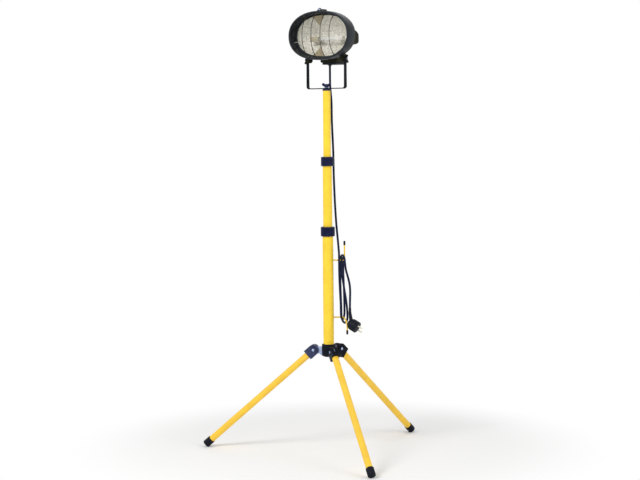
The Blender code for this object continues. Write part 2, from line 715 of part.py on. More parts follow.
# ---------------------------------------------------------------- yoke and fasteners
def wing_nut(name, bore, carrier, matrix):
    """A moulded wing nut whose seat is at z = 0 and whose wings lie along X."""
    nut = as_mesh(lathe(name, [
        (0, WING_BOSS_HEIGHT), (WING_BOSS_RADIUS - WING_ROUND, WING_BOSS_HEIGHT),
        (WING_BOSS_RADIUS, WING_BOSS_HEIGHT - WING_ROUND), (WING_BOSS_RADIUS, 0), (0, 0)],
        steps=ROUND_SMALL))
    tip = WING_SPAN - WING_TIP_RADIUS
    waist = WING_BOSS_RADIUS * 0.8
    outline = [(-waist, WING_ROUND), (waist, WING_ROUND)]
    outline += arc(tip, WING_LIFT, WING_TIP_RADIUS, -55, 130, 9)
    outline += [(0, WING_LIFT - WING_ROUND)]
    outline += arc(-tip, WING_LIFT, WING_TIP_RADIUS, 50, 235, 9)
    combine(nut, plate("wings", [outline], WING_THICKNESS), UPRIGHT, "UNION")
    combine(nut, cylinder("bore", bore, (0, 0, -WING_SPAN), (0, 0, 2 * WING_SPAN)))
    place(nut, "black", carrier, matrix)


def build_yoke(yoke, swivel_nut):
    """The bent steel yoke with its washer and the wing nut that clamps the swivel."""
    top = TILT_RISE + YOKE_END
    inner_bend = YOKE_BEND - YOKE_STRAP
    centre_x, centre_z = YOKE_OUTSIDE - YOKE_BEND, YOKE_BEND
    outline = [(YOKE_OUTSIDE, top)] + arc(centre_x, centre_z, YOKE_BEND, 0, -90, 6)
    outline += arc(-centre_x, centre_z, YOKE_BEND, -90, -180, 6) + [(-YOKE_OUTSIDE, top)]
    outline += [(-YOKE_INSIDE, top)] + arc(-centre_x, centre_z, inner_bend, 180, 270, 6)
    outline += arc(centre_x, centre_z, inner_bend, -90, 0, 6) + [(YOKE_INSIDE, top)]
    strap = as_mesh(plate("yoke", [outline], YOKE_BREADTH))
    strap.data.transform(UPRIGHT)
    combine(strap, cylinder("bore", STUD_RADIUS + FIT, (0, 0, -top), (0, 0, 2 * YOKE_STRAP)))
    wide = 2 * YOKE_OUTSIDE
    combine(strap, cylinder(
        "bore", TILT_BOLT_RADIUS + FIT, (-wide, 0, TILT_RISE), (wide, 0, TILT_RISE)))
    place(strap, "black", yoke, Matrix.Translation((0, 0, YOKE_Z)))
    seat = YOKE_Z + YOKE_STRAP + FIT
    place(lathe("swivel_washer", ring_profile(
        WASHER_RADIUS, STUD_RADIUS + FIT, seat, seat + WASHER_HEIGHT), ring=True),
        "zinc", yoke)
    turn = spin(math.radians(SWIVEL_WING_AZIMUTH), seat + WASHER_HEIGHT + FIT)
    wing_nut("swivel_wing_nut", STUD_RADIUS + RUN, swivel_nut, turn)


def build_tilt(head, nuts):
    """The two tilt bolts through the ears and the yoke, with their wing nuts."""
    inner = YOKE_INSIDE - RUN - EAR_THICKNESS - FIT
    outer = YOKE_OUTSIDE + FIT + WING_BOSS_HEIGHT + BOLT_PROUD
    for side, label in ((-1, "left"), (1, "right")):
        bolt = lathe(f"tilt_bolt_{label}", [
            (0, outer), (TILT_BOLT_RADIUS, outer), (TILT_BOLT_RADIUS, inner),
            (TILT_BOLT_HEAD_RADIUS, inner), (TILT_BOLT_HEAD_RADIUS, inner - TILT_BOLT_HEAD),
            (0, inner - TILT_BOLT_HEAD)], steps=ROUND_SMALL)
        place(bolt, "zinc", head, along((side, 0, 0), (0, 0, TILT_Z)))
        seat = Matrix.Translation((side * (YOKE_OUTSIDE + FIT), 0, TILT_Z))
        turn = Matrix.Rotation(side * math.pi / 2, 4, "Y")
        swing = Matrix.Rotation(math.radians(TILT_WING_ANGLE), 4, "Z")
        wing_nut(f"tilt_wing_nut_{label}", TILT_BOLT_RADIUS + RUN, nuts[side],
                 seat @ turn @ swing)


# ---------------------------------------------------------------- the lamp head
def oval_height(x, half_width, half_height):
    """Half the height of an oval at a place along its width."""
    return half_height * (1 - abs(x / half_width) ** OVAL_POWER) ** (1 / OVAL_POWER)


def build_bezel(head):
    """The hooded front frame with its tab, screw, gasket, glass and wire guard."""
    w, h = OVAL_HALF_WIDTH, OVAL_HALF_HEIGHT
    edge = BEZEL_ROUND
    front = BEZEL_FRONT
    lip_y = GLASS_Y - GASKET_THICKNESS
    pocket = BEZEL_RIM - edge
    throat = BEZEL_RIM + edge
    ledge = throat + BEZEL_LIP
    sections = [
        (edge / 2, BEZEL_BACK), (0, front + 3 * edge), (edge / 2, front + edge / 2),
        (edge * 1.5, front), (BEZEL_RIM - edge, front), (BEZEL_RIM, front + edge),
        (throat, lip_y - BEZEL_LEDGE), (ledge, lip_y - BEZEL_LEDGE), (ledge, lip_y),
        (pocket, lip_y), (pocket, BEZEL_BACK)]
    bezel = loft("bezel", [oval(w - d, h - d, y) for d, y in sections], closed=True)
    hole_z = HEAD_Z + h + TAB_HOLE_RISE
    tab_y = BEZEL_FRONT + TAB_SETBACK
    outline = arc(0, hole_z, TAB_TOP_RADIUS, 20, 160, 8)
    outline += [(-TAB_HALF_WIDTH, HEAD_Z + h - edge), (-TAB_HALF_WIDTH, HEAD_Z + h - 2 * edge),
                (TAB_HALF_WIDTH, HEAD_Z + h - 2 * edge), (TAB_HALF_WIDTH, HEAD_Z + h - edge)]
    combine(bezel, plate("tab", [outline], TAB_THICKNESS),
            Matrix.Translation((0, tab_y, 0)) @ UPRIGHT, "UNION")
    combine(bezel, cylinder(
        "bore", SCREW_RADIUS + FIT, (0, tab_y - TAB_THICKNESS, hole_z),
        (0, tab_y + TAB_THICKNESS, hole_z), 12))
    place(bezel, "black", head)
    face = tab_y - TAB_THICKNESS / 2 - FIT
    screw = lathe("tab_screw", [
        (0, SCREW_HEAD), (SCREW_HEAD_RADIUS - SCREW_HEAD / 2, SCREW_HEAD),
        (SCREW_HEAD_RADIUS, SCREW_HEAD / 2), (SCREW_HEAD_RADIUS, 0), (SCREW_RADIUS, 0),
        (SCREW_RADIUS, -SCREW_LENGTH), (0, -SCREW_LENGTH)], steps=ROUND_SMALL)
    place(screw, "zinc", head, along((0, -1, 0), (0, face, hole_z)))

    seat = pocket + FIT
    gasket_rings = [
        (seat, lip_y + FIT), (ledge, lip_y + FIT), (ledge, GLASS_Y - FIT), (seat, GLASS_Y - FIT)]
    place(loft("glass_gasket", [oval(w - d, h - d, y) for d, y in gasket_rings], closed=True),
          "rubber", head)
    back = GLASS_Y + GLASS_THICKNESS
    place(loft("front_glass", [oval(w - seat, h - seat, y) for y in (GLASS_Y, back)]),
          "glass", head)
    build_guard(head, w - throat - FIT, h - throat - FIT)


def build_guard(head, half_width, half_height):
    """The bowed upright wires in the hood, joined by one wire across."""
    base = BEZEL_FRONT + GUARD_SETBACK
    tools = []
    for k in range(GUARD_COUNT):
        x = (k - (GUARD_COUNT - 1) / 2) * GUARD_PITCH
        reach = oval_height(x, half_width, half_height) - GUARD_WIRE_RADIUS / 2
        route = []
        for s in range(GUARD_STEPS + 1):
            t = 2 * s / GUARD_STEPS - 1
            bow = GUARD_BOW * (1 - abs(t) ** GUARD_POWER)
            route.append((x, base - bow, HEAD_Z + reach * t))
        tools.append(as_mesh(wire("upright", route, GUARD_WIRE_RADIUS, 1)))
    reach = half_width * (1 - (GUARD_CROSS_DROP / half_height) ** OVAL_POWER) ** (1 / OVAL_POWER)
    reach -= GUARD_WIRE_RADIUS / 2
    route = []
    for s in range(2 * GUARD_STEPS + 1):
        t = s / GUARD_STEPS - 1
        bow = GUARD_BOW * (1 - abs(t) ** (2 * GUARD_POWER)) - GUARD_WIRE_RADIUS
        route.append((reach * t, base - max(bow, 0), HEAD_Z - GUARD_CROSS_DROP))
    guard = as_mesh(wire("wire_guard", route, GUARD_WIRE_RADIUS, 1))
    for tool in tools:
        combine(guard, tool, None, "UNION")
    place(guard, "black", head)


def housing_section(share, wall=0.0):
    """Half width, half height and place of the housing at a share of its depth."""
    w0 = OVAL_HALF_WIDTH - BEZEL_ROUND
    h0 = OVAL_HALF_HEIGHT - BEZEL_ROUND
    taper = share ** HOUSING_POWER
    w = w0 + (HOUSING_BACK_WIDTH - w0) * taper - wall
    h = h0 + (HOUSING_BACK_HEIGHT - h0) * taper - wall
    return w, h, HOUSING_FRONT + share * HOUSING_DEPTH


def build_housing(head):
    """The hollow housing with its ears, terminal box and screw pillar, and its covers."""
    steps = HOUSING_STEPS
    rim = BEZEL_RIM + BEZEL_LIP
    front_w, front_h = OVAL_HALF_WIDTH - rim, OVAL_HALF_HEIGHT - rim
    inside = [oval(front_w, front_h, HOUSING_FRONT),
              oval(front_w, front_h, HOUSING_FRONT + HOUSING_WALL)]
    for k in range(1, steps + 1):
        w, h, y = housing_section(k / steps, HOUSING_WALL)
        if k == steps:
            y -= HOUSING_WALL
        inside.append(oval(w, h, y))
    outside = []
    for k in range(steps + 1):
        w, h, y = housing_section(k / steps)
        outside.append(oval(w, h, y))
    housing = loft("housing", inside[::-1] + outside)
    ear_top = HEAD_Z - OVAL_HALF_HEIGHT + EAR_SUNK
    ear_inner = YOKE_INSIDE - RUN - EAR_THICKNESS
    for side in (-1, 1):
        x0, x1 = sorted((side * ear_inner, side * (YOKE_INSIDE - RUN)))
        combine(housing, block("ear", x0, x1, HOUSING_FRONT, EAR_RADIUS * 0.97, TILT_Z, ear_top),
                None, "UNION")
        combine(housing, cylinder("ear", EAR_RADIUS, (x0, 0, TILT_Z), (x1, 0, TILT_Z),
                                   ROUND_MEDIUM),
                None, "UNION")
    box_floor = BOX_BOTTOM + BOX_LID + FIT
    combine(housing, block(
        "box", -BOX_HALF_WIDTH, BOX_HALF_WIDTH, BOX_FRONT, BOX_BACK, box_floor,
        HEAD_Z - OVAL_HALF_HEIGHT + BOX_SUNK, BOX_ROUND), None, "UNION")
    hole_z = HEAD_Z + OVAL_HALF_HEIGHT + TAB_HOLE_RISE
    pillar = BEZEL_FRONT + TAB_SETBACK + TAB_THICKNESS / 2 + FIT
    root_y = HOUSING_FRONT + PILLAR_ROOT
    combine(housing, cylinder(
        "pillar", PILLAR_RADIUS, (0, pillar, hole_z), (0, root_y, hole_z), 14), None, "UNION")
    combine(housing, block(
        "web", -PILLAR_RADIUS, PILLAR_RADIUS, HOUSING_FRONT, root_y,
        HEAD_Z + OVAL_HALF_HEIGHT - 2 * HOUSING_WALL, hole_z), None, "UNION")
    combine(housing, cylinder(
        "bore", SCREW_RADIUS + FIT, (0, pillar - SCREW_LENGTH, hole_z),
        (0, pillar + SCREW_LENGTH, hole_z), 12))
    wide = 2 * YOKE_OUTSIDE
    combine(housing, cylinder(
        "bore", TILT_BOLT_RADIUS + FIT, (ear_inner - EAR_THICKNESS, 0, TILT_Z),
        (wide, 0, TILT_Z)))
    combine(housing, cylinder(
        "bore", TILT_BOLT_RADIUS + FIT, (EAR_THICKNESS - ear_inner, 0, TILT_Z),
        (-wide, 0, TILT_Z)))
    place(housing, "black", head)

    step = BOX_STEP
    place(block("terminal_lid", step - BOX_HALF_WIDTH, BOX_HALF_WIDTH - step, BOX_FRONT + step,
                BOX_BACK - step, BOX_BOTTOM, BOX_BOTTOM + BOX_LID, BOX_ROUND / 2),
          "black", head)
    place(lathe("cord_gland", solid_profile(
        GLAND_RADIUS, BOX_BOTTOM - FIT - GLAND_LENGTH, BOX_BOTTOM - FIT, FIT)),
        "black", head, Matrix.Translation((0, GLAND_Y, 0)))
    rear_z = HEAD_Z - REAR_DROP
    start = HOUSING_BACK + FIT
    rear_rings = [(0, 0, 0), (0, 0.5, 0), (0.001, 0.75, REAR_SLOPE / 4),
                  (0.003, 0.92, REAR_SLOPE * 0.6), (0.007, 1.0, REAR_SLOPE)]
    rear = loft("rear_cover", [
        oval(REAR_HALF_WIDTH - d, REAR_HALF_HEIGHT - d - fall, start + share * REAR_DEPTH,
             REAR_POWER, rear_z - fall, OVAL_POINTS) for d, share, fall in rear_rings])
    for k in range(REAR_FINS):
        x = (k - (REAR_FINS - 1) / 2) * 2 * (REAR_HALF_WIDTH - FIN_MARGIN) / (REAR_FINS - 1)
        combine(rear, block(
            "groove", x - FIN_THICKNESS / 2, x + FIN_THICKNESS / 2, start + FIN_MARGIN,
            start + 2 * REAR_DEPTH, rear_z + REAR_HALF_HEIGHT - FIN_HEIGHT, HEAD_Z + OVAL_HALF_HEIGHT))
    place(rear, "black", head)


def build_optics(head):
    """The reflector, the double-ended lamp and its two ceramic holders."""
    flange = BEZEL_RIM - BEZEL_ROUND + FIT
    w, h = OVAL_HALF_WIDTH - flange, OVAL_HALF_HEIGHT - flange
    rim = BEZEL_RIM + BEZEL_LIP + FIT + REFLECTOR_THICKNESS
    wi, hi = OVAL_HALF_WIDTH - rim, OVAL_HALF_HEIGHT - rim
    start = GLASS_Y + GLASS_THICKNESS + FIT
    skin = REFLECTOR_THICKNESS
    back = start + REFLECTOR_DEPTH
    inside, outside = [], []
    for k in range(REFLECTOR_STEPS + 1):
        share = k / REFLECTOR_STEPS
        curve = share ** REFLECTOR_POWER
        ww = wi + (REFLECTOR_BACK_WIDTH - wi) * curve
        hh = hi + (REFLECTOR_BACK_HEIGHT - hi) * curve
        y = start + share * REFLECTOR_DEPTH
        inside.append(oval(ww, hh, y))
        outside.append(oval(ww + skin, hh + skin, y + skin))
    rings = inside[::-1] + [oval(w, h, start), oval(w, h, start + skin)] + outside
    place(loft("reflector", rings), "silver", head)

    lamp_y, lamp_z = GLASS_Y + LAMP_DEPTH, HEAD_Z - LAMP_DROP
    half = LAMP_LENGTH / 2
    neck = half - HOLDER_OVERLAP - LAMP_NECK
    place(lathe("lamp_tube", [
        (0, half), (LAMP_NECK, half), (LAMP_NECK, neck + LAMP_NECK), (LAMP_RADIUS, neck),
        (LAMP_RADIUS, -neck), (LAMP_NECK, -neck - LAMP_NECK), (LAMP_NECK, -half), (0, -half)],
        steps=ROUND_SMALL), "glass", head, along((1, 0, 0), (0, lamp_y, lamp_z)))
    inner = half - HOLDER_OVERLAP
    for side, label in ((-1, "left"), (1, "right")):
        x0, x1 = sorted((side * inner, side * (inner + HOLDER_LENGTH)))
        half_height = HOLDER_HEIGHT / 2
        holder = block(f"lamp_holder_{label}", x0, x1, lamp_y - half_height,
                       lamp_y + half_height, lamp_z - half_height, lamp_z + half_height,
                       HOLDER_ROUND)
        foot = [side * (inner + HOLDER_ROUND * 4), side * (inner + HOLDER_FOOT)]
        combine(holder, block("foot", min(foot), max(foot), lamp_y, back - FIT,
                              lamp_z - HOLDER_ROUND * 4, lamp_z + HOLDER_ROUND * 4), None, "UNION")
        combine(holder, cylinder(
            "bore", LAMP_NECK + FIT, (0, lamp_y, lamp_z),
            (side * (half + FIT), lamp_y, lamp_z)))
        place(holder, "ceramic", head)


# ---------------------------------------------------------------- cord and plug
DROP_ROUTE = [                       # u, v, z beside the mast, chosen by hand
    (0.0114, 0.0164, 1.2300), (0.0116, 0.0168, 1.2050), (0.0122, 0.0175, 1.1800),
    (0.0140, 0.0178, 1.1450), (0.0160, 0.0185, 1.0800), (0.0195, 0.0195, 1.0000),
    (0.0205, 0.0190, 0.9500), (0.0212, 0.0178, 0.9000), (0.0240, 0.0150, 0.8200),
    (0.0272, 0.0140, 0.7600), (0.0300, 0.0100, 0.7250), (0.0322, 0.0010, 0.7000),
    (0.0342, -0.0105, 0.6760), (0.0358, -0.0190, 0.6540), (0.0358, -0.0221, 0.6400),
    (0.0358, -0.0222, 0.6310)]
RUNS = [                             # each run's u at its top, middle and bottom
    (0.0358, 0.0378, 0.0405), (0.0492, 0.0512, 0.0525), (0.0436, 0.0530, 0.0617),
    (0.0398, 0.0400, 0.0425), (0.0548, 0.0692, 0.0698)]


def drop_points():
    """The cord from the gland down to where it is wound on the hooks."""
    exit_z = BOX_BOTTOM - FIT - GLAND_LENGTH - FIT
    turn = math.radians(HOOK_AZIMUTH)
    u, v = GLAND_Y * math.sin(turn), GLAND_Y * math.cos(turn)
    route = [(u, v, exit_z), (u, v, exit_z - CORD_DIAMETER)] + DROP_ROUTE
    return [rack(*p) for p in smooth_path(route, CORD_DIAMETER * 2.2)]


def hank_points():
    """The cord wound over the upper hook and under the lower one, then to the plug."""
    touch = HOOK_RADIUS + CORD_RADIUS + HANK_SLACK
    tops = [UPPER_HOOK_Z + touch, UPPER_HOOK_Z + touch + HANK_CLIMB]
    lows = [LOWER_HOOK_Z - touch, LOWER_HOOK_Z - touch - HANK_DROP]
    start_z = DROP_ROUTE[-1][2] - FIT
    points = []
    for k, (u_top, u_middle, u_low) in enumerate(RUNS):
        down = k % 2 == 0
        side = -1 if down else 1
        z_top = tops[min(k // 2, 1) if not down else max(k // 2 - 1, 0)] - FOLD_RADIUS
        z_low = lows[min(k // 2, 1)] + FOLD_RADIUS
        if k == 0:
            z_top = start_z - CORD_DIAMETER
            points.append((u_top, -FOLD_RADIUS, start_z))
        if k == len(RUNS) - 1:
            z_low = PLUG_ENTRY_Z + CORD_DIAMETER
        run = []
        for s in range(RUN_STEPS + 1):
            t = s / RUN_STEPS
            z = z_top + (z_low - z_top) * t
            blend_in = math.sin(math.pi * t) ** 2
            depth = FOLD_RADIUS - (FOLD_RADIUS - WAIST_RADIUS) * blend_in
            ease = t * t * (3 - 2 * t)
            u = u_top + (u_low - u_top) * ease
            u += (u_middle - (u_top + u_low) / 2) * blend_in
            if k == len(RUNS) - 1 and t > 0.5:
                depth = WAIST_RADIUS + (PLUG_DEPTH - WAIST_RADIUS) * (1 - blend_in)
            run.append((u, side * depth, z))
        if not down:
            run.reverse()
        points += run
        if k == len(RUNS) - 1:
            points.append((u_low, -PLUG_DEPTH, PLUG_ENTRY_Z))
            break
        u_from = u_low if down else u_top
        u_to = RUNS[k + 1][2] if down else RUNS[k + 1][0]
        centre = z_low if down else z_top
        swing = -1 if down else 1
        for s in range(1, FOLD_STEPS):
            t = s / FOLD_STEPS
            ease = t * t * (3 - 2 * t)
            a = math.pi * t
            points.append((
                u_from + (u_to - u_from) * ease, side * FOLD_RADIUS * math.cos(a),
                centre + swing * FOLD_RADIUS * math.sin(a)))
    return [rack(*p) for p in points]


def report_cord(name, path):
    """Prints a cord's length, its tightest bend and its least gap to itself."""
    length = sum((b - a).length for a, b in zip(path, path[1:]))
    bend = min(
        (b - a).length / max((b - a).angle(c - b), 1e-6)
        for a, b, c in zip(path, path[1:], path[2:]))
    fine = []
    for a, b in zip(path, path[1:]):
        steps = max(1, math.ceil((b - a).length / 0.002))
        fine += [a.lerp(b, s / steps) for s in range(steps)]
    apart = [
        (p - q).length for i, p in enumerate(fine) for q in fine[i + 20:]]
    gap = min(apart) - CORD_DIAMETER
    print(f"{name}: length {length:.3f} m, bend {bend / CORD_DIAMETER:.2f} d, gap {gap:.4f} m")


def build_cord(root):
    """The mains cord as a drop and a wound hank, and its plug."""
    drop = drop_points()
    hank = hank_points()
    report_cord("cord_drop", drop)
    report_cord("cord_hank", hank)
    place(wire("cord_drop", drop, CORD_RADIUS, 2), "black", root)
    place(wire("cord_hank", hank, CORD_RADIUS, 1), "black", root)

    aim = (rack(*PLUG_AIM) - rack(0, 0, 0)).normalized()
    centre = rack(*PLUG_CENTRE)
    half = PLUG_LENGTH / 2
    plug = as_mesh(lathe("plug_body", [
        (0, half), (PLUG_RADIUS - PLUG_ROUND, half), (PLUG_RADIUS, half - PLUG_ROUND),
        (PLUG_RADIUS, 0), (PLUG_RADIUS - PLUG_ROUND, -half / 2),
        (PLUG_RADIUS - 4 * PLUG_ROUND, -half + PLUG_ROUND), (PLUG_RADIUS - 6 * PLUG_ROUND, -half),
        (0, -half)], steps=ROUND_MEDIUM))
    plug.data.transform(along(aim, centre))
    u, v = RUNS[-1][2], -PLUG_DEPTH
    entry = [rack(u, v, PLUG_ENTRY_Z - FIT), rack(u, v, PLUG_ENTRY_Z - 2 * CORD_DIAMETER),
             rack(u + CORD_RADIUS / 3, v - CORD_RADIUS / 2, PLUG_ENTRY_Z - 3.4 * CORD_DIAMETER),
             centre - aim * (half / 3)]
    relief = smooth_path(entry, CORD_DIAMETER / 2)
    tapers = [1.15 + 0.9 * k / (len(relief) - 1) for k in range(len(relief))]
    combine(plug, wire("relief", relief, CORD_RADIUS, 2, tapers), None, "UNION")
    across = (rack(*PLUG_SPREAD) - rack(0, 0, 0)).normalized()
    across = (across - aim * across.dot(aim)).normalized()
    for k, side in enumerate((-1, 1)):
        base = centre + across * (side * PLUG_PIN_SPACING / 2)
        start = base + aim * (half - PLUG_PIN_SEAT)
        stop = base + aim * (half + PLUG_PIN_LENGTH)
        combine(plug, cylinder("bore", PLUG_PIN_RADIUS + FIT, start - aim * FIT, stop))
        pin = lathe(f"plug_pin_{k + 1}", solid_profile(
            PLUG_PIN_RADIUS, 0, PLUG_PIN_SEAT + PLUG_PIN_LENGTH, PLUG_PIN_RADIUS / 3),
            steps=ROUND_SMALL)
        place(pin, "brass", root, along(aim, start))
    place(plug, "black", root)


def main():
    """Makes the bodies on their joint axes, and every piece on its body."""
    root = body("root")
    build_hub(root)
    for k, azimuth in enumerate(leg_azimuths()):
        x, y = PIVOT_RADIUS * math.cos(azimuth), PIVOT_RADIUS * math.sin(azimuth)
        build_leg(k + 1, azimuth, body(f"leg_{k + 1}", x, y, PIVOT_Z))
    middle = body("middle_mast", z=LOWER_TOP)
    upper = body("upper_mast", z=MIDDLE_TOP)
    build_mast(root, middle, upper, body("lower_lock", z=LOWER_TOP), body("upper_lock", z=MIDDLE_TOP))
    build_hooks(root)
    build_yoke(body("yoke", z=YOKE_Z), body("swivel_nut", z=YOKE_Z))
    head = body("head", z=TILT_Z)
    nuts = {side: body("tilt_nut_" + label, side * YOKE_OUTSIDE, 0, TILT_Z)
            for side, label in ((-1, "left"), (1, "right"))}
    build_tilt(head, nuts)
    build_bezel(head)
    build_housing(head)
    build_optics(head)
    build_cord(root)


main()
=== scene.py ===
"""Looks of a work light: an oval flood light on a yoke, on a telescopic tripod stand.

Each sub-assembly is a class that holds its sizes and builds and dresses its own pieces
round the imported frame. Metres, +Z up, and the lamp faces -Y.
"""

from __future__ import annotations

import logging
import math
from dataclasses import dataclass
from enum import Enum
from typing import Union

import bmesh
import bpy
from mathutils import Matrix, Vector

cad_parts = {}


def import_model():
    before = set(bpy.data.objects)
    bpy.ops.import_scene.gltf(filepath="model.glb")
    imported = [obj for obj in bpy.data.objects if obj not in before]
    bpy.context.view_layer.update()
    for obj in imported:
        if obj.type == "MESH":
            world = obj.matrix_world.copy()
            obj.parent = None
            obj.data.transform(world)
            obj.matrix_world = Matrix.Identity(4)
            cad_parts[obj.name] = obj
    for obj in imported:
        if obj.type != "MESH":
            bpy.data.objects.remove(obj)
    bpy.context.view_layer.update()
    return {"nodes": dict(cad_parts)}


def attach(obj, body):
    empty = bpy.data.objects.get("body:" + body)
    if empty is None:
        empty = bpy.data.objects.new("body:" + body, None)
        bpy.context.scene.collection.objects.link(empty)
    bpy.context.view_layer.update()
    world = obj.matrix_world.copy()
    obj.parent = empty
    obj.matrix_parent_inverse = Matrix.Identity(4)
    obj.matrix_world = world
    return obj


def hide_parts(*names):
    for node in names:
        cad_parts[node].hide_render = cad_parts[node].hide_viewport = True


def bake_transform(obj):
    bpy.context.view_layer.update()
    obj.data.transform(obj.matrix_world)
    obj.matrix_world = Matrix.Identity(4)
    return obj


log = logging.getLogger("work_light")

Point = tuple[float, float, float]
Value = Union[bpy.types.NodeSocket, float, tuple[float, float, float, float]]

MAST_X = 0.027870            # the mast's axis in the frame
MAST_Y = -0.079066
PHOTO_TURN = math.radians(34.8)   # how far the stand is turned from the camera
FIT = 0.0003                 # gap between pieces that touch
EDGE = 0.0003                # how far the edges of thin tubes are broken
SHARP = math.radians(38)     # edges sharper than this stay crisp
SHARPER = math.radians(50)   # the same once the edges are rounded
FLAT = math.radians(1.5)     # faces closer to one plane than this are joined
WELD = 0.00002               # vertices nearer than this are one


# ---------------------------------------------------------------- shapes
class Shape:
    """Makes the meshes that the sub-assemblies are built from."""

    @staticmethod
    def axis(z: float = 0.0, x: float = 0.0, y: float = 0.0) -> Matrix:
        """A place beside the mast's axis.

        Args:
            z: Height.
            x: Distance to the lamp's right.
            y: Distance behind the lamp's face.

        Returns:
            The matrix that moves a mesh there.
        """
        return Matrix.Translation((MAST_X + x, MAST_Y + y, z))

    @staticmethod
    def along(direction: Point, at: Point = (0, 0, 0)) -> Matrix:
        """Turns +Z to a direction and moves it to a point.

        Args:
            direction: Where +Z goes.
            at: Where the origin goes.

        Returns:
            The matrix.
        """
        turn = Vector(direction).to_track_quat("Z", "Y").to_matrix().to_4x4()
        return Matrix.Translation(at) @ turn

    @staticmethod
    def finish(model: bmesh.types.BMesh, name: str, sharp: float = SHARP) -> bpy.types.Object:
        """Makes an object of a model, smooth but for its sharp edges.

        Args:
            model: The model, which is freed.
            name: The piece's name.
            sharp: The angle from which an edge stays crisp.

        Returns:
            The object, linked to the scene.
        """
        bmesh.ops.recalc_face_normals(model, faces=model.faces)
        mesh = bpy.data.meshes.new(name)
        model.to_mesh(mesh)
        model.free()
        mesh.shade_smooth()
        mesh.set_sharp_from_angle(angle=sharp)
        obj = bpy.data.objects.new(name, mesh)
        bpy.context.scene.collection.objects.link(obj)
        return obj

    @staticmethod
    def skin(model: bmesh.types.BMesh, rings: list[list[Point]], closed: bool = False,
             caps: bool = True) -> None:
        """Adds a surface through rings of points to a model.

        Args:
            model: The model to add to.
            rings: Rings with as many points each.
            closed: Whether the last ring joins the first.
            caps: Whether the ends are closed.
        """
        rows = [[model.verts.new(p) for p in ring] for ring in rings]
        count = len(rows[0])
        pairs = list(zip(rows, rows[1:]))
        if closed:
            pairs.append((rows[-1], rows[0]))
        elif caps:
            model.faces.new(rows[0])
            model.faces.new(rows[-1])
        for one, two in pairs:
            for k in range(count):
                n = (k + 1) % count
                model.faces.new((one[k], one[n], two[n], two[k]))

    @classmethod
    def loft(cls, name: str, rings: list[list[Point]], closed: bool = False) -> bpy.types.Object:
        """A closed piece through rings of points.

        Args:
            name: The piece's name.
            rings: Rings with as many points each.
            closed: Whether the last ring joins the first.

        Returns:
            The object.
        """
        model = bmesh.new()
        cls.skin(model, rings, closed)
        return cls.finish(model, name)

    @classmethod
    def turned(cls, name: str, profile: list[tuple[float, float]], sides: int = 56,
               ring: bool = False, wave: tuple[int, float, float, float] | None = None,
               ) -> bpy.types.Object:
        """A turned piece round +Z.

        Args:
            name: The piece's name.
            profile: Points of radius and height. A radius of 0 is an end.
            sides: Facets round it.
            ring: Whether the last point joins the first.
            wave: Count, depth, lowest and highest height of grooves along the piece.

        Returns:
            The object.
        """
        model = bmesh.new()
        rings = []
        for radius, z in profile:
            circle = []
            for k in range(sides):
                a = 2 * math.pi * k / sides
                r = max(radius, 1e-5)
                if wave and wave[2] < z < wave[3]:
                    groove = max(0.0, math.cos(wave[0] * a)) ** 3
                    r -= wave[1] * groove
                circle.append((r * math.cos(a), r * math.sin(a), z))
            rings.append(circle)
        cls.skin(model, rings, ring)
        return cls.finish(model, name)

    @classmethod
    def drill(cls, radius: float, low: float, high: float, sides: int = 32) -> bpy.types.Object:
        """A plain rod round +Z that a hole is cut with.

        Args:
            radius: Of the hole.
            low: Where the rod starts.
            high: Where it ends.
            sides: Facets round it.

        Returns:
            The object.
        """
        return cls.turned("hole", [(0, high), (radius, high), (radius, low), (0, low)], sides)

    @staticmethod
    def sleeve(outer: float, inner: float, low: float, top: float) -> list[tuple[float, float]]:
        """The profile of a thin tube whose outer edges are broken.

        Args:
            outer: Outer radius.
            inner: Inner radius.
            low: Height of its bottom.
            top: Height of its top.

        Returns:
            Points of radius and height, for a closed ring.
        """
        return [(outer - EDGE, top), (outer, top - EDGE), (outer, low + EDGE),
                (outer - EDGE, low), (inner, low), (inner, top)]

    @staticmethod
    def frames(path: list[Vector]) -> list[tuple[Vector, Vector, Vector]]:
        """Steady cross axes along a path.

        Args:
            path: The path's points.

        Returns:
            Each point's forward, first and second axis.
        """
        forwards = []
        for k in range(len(path)):
            a, b = path[max(k - 1, 0)], path[min(k + 1, len(path) - 1)]
            forwards.append((b - a).normalized())
        side = forwards[0].orthogonal().normalized()
        axes = []
        for forward in forwards:
            side = (side - forward * side.dot(forward)).normalized()
            axes.append((forward, side, forward.cross(side)))
        return axes

    @classmethod
    def tube_rings(cls, path: list[Vector], radii: list[float], sides: int) -> list[list[Point]]:
        """The rings of a round wire along a path.

        Args:
            path: The path's points.
            radii: One radius at each point.
            sides: Facets round it.

        Returns:
            A ring at each point.
        """
        rings = []
        for at, radius, (_, one, two) in zip(path, radii, cls.frames(path)):
            rings.append([
                at + (one * math.cos(a) + two * math.sin(a)) * radius
                for a in (2 * math.pi * k / sides for k in range(sides))])
        return rings

    @classmethod
    def tube(cls, name: str, path: list[Vector], radii: list[float] | float,
             sides: int = 14) -> bpy.types.Object:
        """A round wire or cord along a path.

        Args:
            name: The piece's name.
            path: The path's points.
            radii: One radius, or one at each point.
            sides: Facets round it.

        Returns:
            The object.
        """
        if not isinstance(radii, list):
            radii = [radii] * len(path)
        return cls.loft(name, cls.tube_rings(path, radii, sides))

